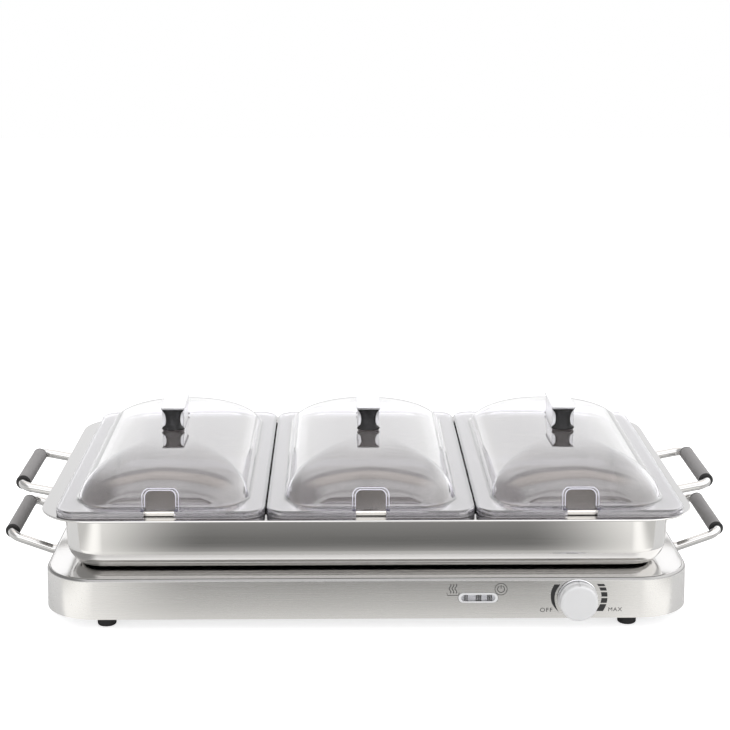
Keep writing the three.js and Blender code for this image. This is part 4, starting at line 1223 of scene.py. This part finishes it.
def panel_point(x, z, stand):
    return x, -base_half_at(z)[1] - stand, z


def mark(outline):
    """A thin plate on the front wall with the given outline, which runs anticlockwise."""
    return loft([[panel_point(x, z, stand) for x, z in outline] for stand in (-MARK_DEPTH, MARK_STAND)])


def ribbon(line, width):
    """The outline of a stroke of even width along a line."""
    left, right = [], []
    for i, (x, z) in enumerate(line):
        ax, az = line[max(i - 1, 0)]
        bx, bz = line[min(i + 1, len(line) - 1)]
        along = Vector((bx - ax, bz - az)).normalized() * width / 2
        left.append((x - along.y, z + along.x))
        right.append((x + along.y, z - along.x))
    return right + left[::-1]


def stroke(line, width=STROKE):
    """A stroke as a row of four-sided plates, so that it may bend or close on itself."""
    outline = ribbon(line, width)
    points = [panel_point(x, z, stand) for stand in (-MARK_DEPTH, MARK_STAND) for x, z in outline]
    total = len(outline)
    faces = []
    for i in range(len(line) - 1):
        a, b, c, d = i, i + 1, total - 2 - i, total - 1 - i
        faces.append((a, b, c, d))
        faces.append((total + d, total + c, total + b, total + a))
    for i in range(total):
        j = (i + 1) % total
        faces.append((i, j, total + j, total + i))
    return points, faces


def arc(x, z, radius, start, end, steps):
    out = []
    for step in range(steps + 1):
        angle = math.radians(start + (end - start) * step / steps)
        out.append((x + radius * math.cos(angle), z + radius * math.sin(angle)))
    return out


def dial_band(low, high, steps=6):
    rows = [low + (high - low) * step / steps for step in range(steps + 1)]
    outer = [(math.sqrt(DIAL_OUTER ** 2 - z * z), z) for z in rows]
    inner = [(math.sqrt(DIAL_INNER ** 2 - z * z), z) for z in reversed(rows)]
    return outer + inner


def heat_wave(place):
    low, high = HEAT_HEIGHTS
    line = []
    for step in range(WAVE_STEPS + 1):
        share = step / WAVE_STEPS
        sway = WAVE_SWAY * math.sin(2 * math.pi * share * WAVE_TURNS + WAVE_START)
        line.append((HEAT_X + WAVE_PITCH * place + sway, low + (high - low) * share))
    return stroke(line)


def letters(text, x, z, width, height):
    """Generic lettering: the font's outlines run out to the given width and height about a middle."""
    curve = bpy.data.curves.new("letters", "FONT")
    curve.body = text
    curve.space_character = LETTER_SPACE
    curve.resolution_u = 4
    holder = bpy.data.objects.new("letters", curve)
    collection.objects.link(holder)
    mesh = evaluated_mesh(holder)
    bpy.data.objects.remove(holder)

    def fitted(values, middle, size):
        low, high = min(values), max(values)
        return [middle + (value - (high + low) / 2) * size / (high - low) for value in values]

    across = fitted([v.co.x for v in mesh.vertices], x, width)
    up = fitted([v.co.y for v in mesh.vertices], z, height)
    points = [panel_point(a, b, MARK_STAND) for a, b in zip(across, up)]
    return points, [tuple(face.vertices) for face in mesh.polygons]


def add_marks():
    crescent = eased(CRESCENT_OUTER) + eased(CRESCENT_INNER)[1:]
    outlines = [crescent] + [dial_band(*band) for band in DIAL_BANDS]
    shapes = {
        "dial_marks": [mark([(DIAL_X + x, DIAL_Z + z) for x, z in outline]) for outline in outlines],
        "heat_icon": [heat_wave(place) for place in (-1, 0, 1)] + [stroke(HEAT_TRAY, THIN_STROKE)],
        "power_icon": [
            stroke(arc(POWER_X, POWER_Z, *POWER_RING), THIN_STROKE),
            stroke(arc(POWER_X, POWER_Z, *POWER_ARC)),
            stroke([(POWER_X, POWER_Z + rise) for rise in POWER_BAR]),
        ],
        "dial_words": [letters(*word) for word in WORDS],
    }
    for name, parts in shapes.items():
        made = make_object(name, joined(*parts), ink)
        if name != "dial_words":
            outwards(made)
        declare(made, "base", None)


add_base()
add_tray()
add_pans()
add_lids()
add_handles()
add_carry_handles()
add_window()
add_marks()
add_knob()
add_bezel()
add_feet()
add_gland()


# Camera

CAMERA_LENS = 83.31
CAMERA_SENSOR = 36
CAMERA_PLACE = (-24.3, -1496.35, 545.7)
CAMERA_TURNS = (("Z", -0.925), ("X", 90 - 13.284), ("Z", 0.096))


def add_camera():
    data = bpy.data.cameras.new("camera")
    data.lens = CAMERA_LENS
    data.sensor_width = CAMERA_SENSOR
    made = bpy.data.objects.new("camera", data)
    made.matrix_world = Matrix.Translation(Vector(CAMERA_PLACE) * MM)
    for axis, angle in CAMERA_TURNS:
        made.matrix_world = made.matrix_world @ Matrix.Rotation(math.radians(angle), 4, axis)
    collection.objects.link(made)
    bpy.context.scene.camera = made


# Floor, in metres, and the light levels round the object

FLOOR_REACH = 4
FLOOR_WHITE = 0.9
FLOOR_GLOW = 0.7
CARD_HALF = 2.0
CARD_LENGTH = 3
CARD_LIFT = 0.0005

# The darker studio floor in front of the white table: way out from the base's front, and level
FLOOR_LEVELS = (
    (0, 0.84), (0.04, 0.84), (0.055, 0.66), (0.08, 0.6), (0.108, 0.53), (0.126, 0.44), (0.138, 0.17),
    (0.15, 0.165), (0.165, 0.22), (0.19, 0.29), (0.25, 0.31), (0.5, 0.36),
)
FLOOR_TINT = (1.0, 0.99, 0.965)

# Beside the dark floor the table starts between the first two places, and dims between the others
TABLE_PLACES = (0.15, 0.32)
FAR_PLACES = (0.33, 0.42)
SIDE_TABLE_LEVEL = 1.35
FAR_TABLE_LEVEL = 0.72

# Low round the object
BACKDROP_LEVEL = 1.3
SIDE_LEVEL = 1.02
ROOF_LEVEL = 0.6
FRONT_LEVEL = 0.55
FRONT_LOW_LEVEL = 0.14
FRONT_SIDE_LEVEL = 0.9

# The sky over the object as the shiny surfaces see it: degrees from the horizon behind it up and over to the
# front, level and tint
WARM = (1.0, 0.935, 0.885)
EVEN = (1.0, 1.0, 1.01)
SKY = (
    (12, 1.35, EVEN), (22, 1.42, EVEN), (26, 1.5, EVEN), (29.5, 0.85, EVEN), (34, 0.8, EVEN), (38, 1.5, WARM),
    (43, 1.7, WARM), (56, 1.65, WARM), (63, 1.3, WARM), (72, 1.6, EVEN), (92, 2.0, EVEN), (124, 2.0, EVEN),
    (136, 1.6, EVEN), (152, 1.3, EVEN), (166, 2.0, EVEN),
)
SKY_HIGHEST = 2.0
LEFT_SKY_LEVEL = 0.6
RIGHT_SKY_LEVEL = 2.2

# What the pans mirror out through the lids
PAN_SKY_LEVEL = 0.4

# Where a ray's direction starts and ends each change of light: y runs to the back, z up
SKY_RISE = (0.12, 0.24)
SKY_SIDES = (-0.1, 0.1)
SKY_FLANKS = (0.3, 0.6)
BEHIND = (0.15, 0.5)
BESIDE = (0.35, 0.65)
IN_FRONT = (-0.2, -0.75)
FRONT_RISE = (0.15, 0.5)
FRONT_MIDDLE = (0.04, 0.15)
PAN_SKY_RISE = (0.03, 0.1)


def ramp(tree, share, stops):
    """A colour ramp through (place, colour) stops."""
    shades = add_node(tree, "ShaderNodeValToRGB", {"Fac": share})
    while len(shades.color_ramp.elements) < len(stops):
        shades.color_ramp.elements.new(0.5)
    for element, (place, tone) in zip(shades.color_ramp.elements, stops):
        element.position = place
        element.color = (*tone, 1)
    return shades.outputs["Color"]


def even(tree, level):
    return add_node(tree, "ShaderNodeCombineXYZ", {axis: level for axis in "XYZ"}).outputs[0]


def ground(name, half, near, far, lift, material):
    mesh = bpy.data.meshes.new(name)
    corners = [(-half, near, lift), (half, near, lift), (half, far, lift), (-half, far, lift)]
    mesh.from_pydata(corners, [], [(0, 1, 2, 3)])
    mesh.materials.append(material)
    made = bpy.data.objects.new(name, mesh)
    collection.objects.link(made)
    return made


def add_floor():
    material, tree, shader = new_material("floor_white", roughness=1.0, emission_color=(1, 1, 1, 1))
    shader.inputs["Base Color"].default_value = (FLOOR_WHITE, FLOOR_WHITE, FLOOR_WHITE, 1)
    shader.inputs["Specular IOR Level"].default_value = 0
    path = add_node(tree, "ShaderNodeLightPath").outputs
    seen = calculated(tree, "MAXIMUM", path["Is Camera Ray"], path["Is Transmission Ray"])
    tree.links.new(calculated(tree, "MULTIPLY", seen, FLOOR_GLOW), shader.inputs["Emission Strength"])
    ground("floor", FLOOR_REACH, -FLOOR_REACH, FLOOR_REACH, 0, material)


def add_floor_card():
    """The darker studio floor, seen only in the shiny metal."""
    front = (ROW_SHIFT - BASE_HALF[1]) * MM
    reach = FLOOR_LEVELS[-1][0]
    material = bpy.data.materials.new("floor_card")
    material.use_nodes = True
    tree = material.node_tree
    tree.nodes.clear()
    across, along, _ = split(tree, add_node(tree, "ShaderNodeNewGeometry").outputs["Position"])
    way_out = ranged(tree, along, front, front - reach, kind="LINEAR")
    dark = ramp(tree, way_out, [(way / reach, (level, level, level)) for way, level in FLOOR_LEVELS])
    across = calculated(tree, "ABSOLUTE", across)
    beside = ranged(tree, across, *FAR_PLACES, SIDE_TABLE_LEVEL, FAR_TABLE_LEVEL)
    level = mixed(tree, ranged(tree, across, *TABLE_PLACES), dark, beside)
    glow = add_node(tree, "ShaderNodeEmission", {"Color": (*FLOOR_TINT, 1), "Strength": level})
    output = add_node(tree, "ShaderNodeOutputMaterial")
    tree.links.new(glow.outputs[0], output.inputs["Surface"])
    made = ground("floor_card", CARD_HALF, front - CARD_LENGTH, front, CARD_LIFT, material)
    for ray in ("camera", "diffuse", "shadow", "transmission"):
        setattr(made, f"visible_{ray}", False)


def sky_light(tree, x, y, z):
    """The sky's colour by how far over the object a ray points, with a dim left and a bright right."""
    over = ranged(tree, calculated(tree, "ARCTAN2", z, y), 0.0, math.pi)
    stops = [(angle / 180, [level / SKY_HIGHEST * part for part in tint]) for angle, level, tint in SKY]
    inputs = {0: ramp(tree, over, stops), "Scale": SKY_HIGHEST}
    sky = add_node(tree, "ShaderNodeVectorMath", inputs, operation="SCALE").outputs[0]
    flank = even(tree, ranged(tree, x, *SKY_SIDES, LEFT_SKY_LEVEL, RIGHT_SKY_LEVEL))
    return blended(tree, ranged(tree, calculated(tree, "ABSOLUTE", x), *SKY_FLANKS), sky, flank)


def low_light(tree, x, y, z):
    """The level low round the object: a bright backdrop and sides, and a dimmer front."""
    beside = calculated(tree, "ABSOLUTE", x)
    behind = ranged(tree, y, *BEHIND)
    lit = calculated(tree, "MAXIMUM", ranged(tree, beside, *BESIDE), behind)
    level = mixed(tree, lit, ROOF_LEVEL, mixed(tree, behind, SIDE_LEVEL, BACKDROP_LEVEL))
    dark = ranged(tree, z, *FRONT_RISE, FRONT_LOW_LEVEL, FRONT_LEVEL)
    front = mixed(tree, ranged(tree, beside, *FRONT_MIDDLE, 1.0, 0.0), FRONT_SIDE_LEVEL, dark)
    return even(tree, mixed(tree, ranged(tree, y, *IN_FRONT), level, front))


def add_world():
    """An even white studio for the camera and for lighting. Shiny surfaces see levels by direction."""
    world = bpy.data.worlds.new("studio")
    bpy.context.scene.world = world
    world.use_nodes = True
    tree = world.node_tree
    tree.nodes.clear()
    x, y, z = split(tree, add_node(tree, "ShaderNodeTexCoord").outputs["Generated"])
    low, sky = low_light(tree, x, y, z), sky_light(tree, x, y, z)
    mirrored = blended(tree, ranged(tree, z, *SKY_RISE), low, sky)
    white = (1, 1, 1, 1)
    dim = (PAN_SKY_LEVEL, PAN_SKY_LEVEL, PAN_SKY_LEVEL, 1)
    through = blended(tree, ranged(tree, z, *PAN_SKY_RISE), white, dim)
    path = add_node(tree, "ShaderNodeLightPath").outputs
    shown = blended(tree, path["Is Glossy Ray"], white, mirrored)
    shown = blended(tree, path["Is Transmission Ray"], shown, through)
    background = add_node(tree, "ShaderNodeBackground", {"Color": shown, "Strength": 1.0})
    output = add_node(tree, "ShaderNodeOutputWorld")
    tree.links.new(background.outputs[0], output.inputs["Surface"])


add_camera()
add_floor()
add_floor_card()
add_world()

bpy.context.scene.view_settings.view_transform = "Standard"
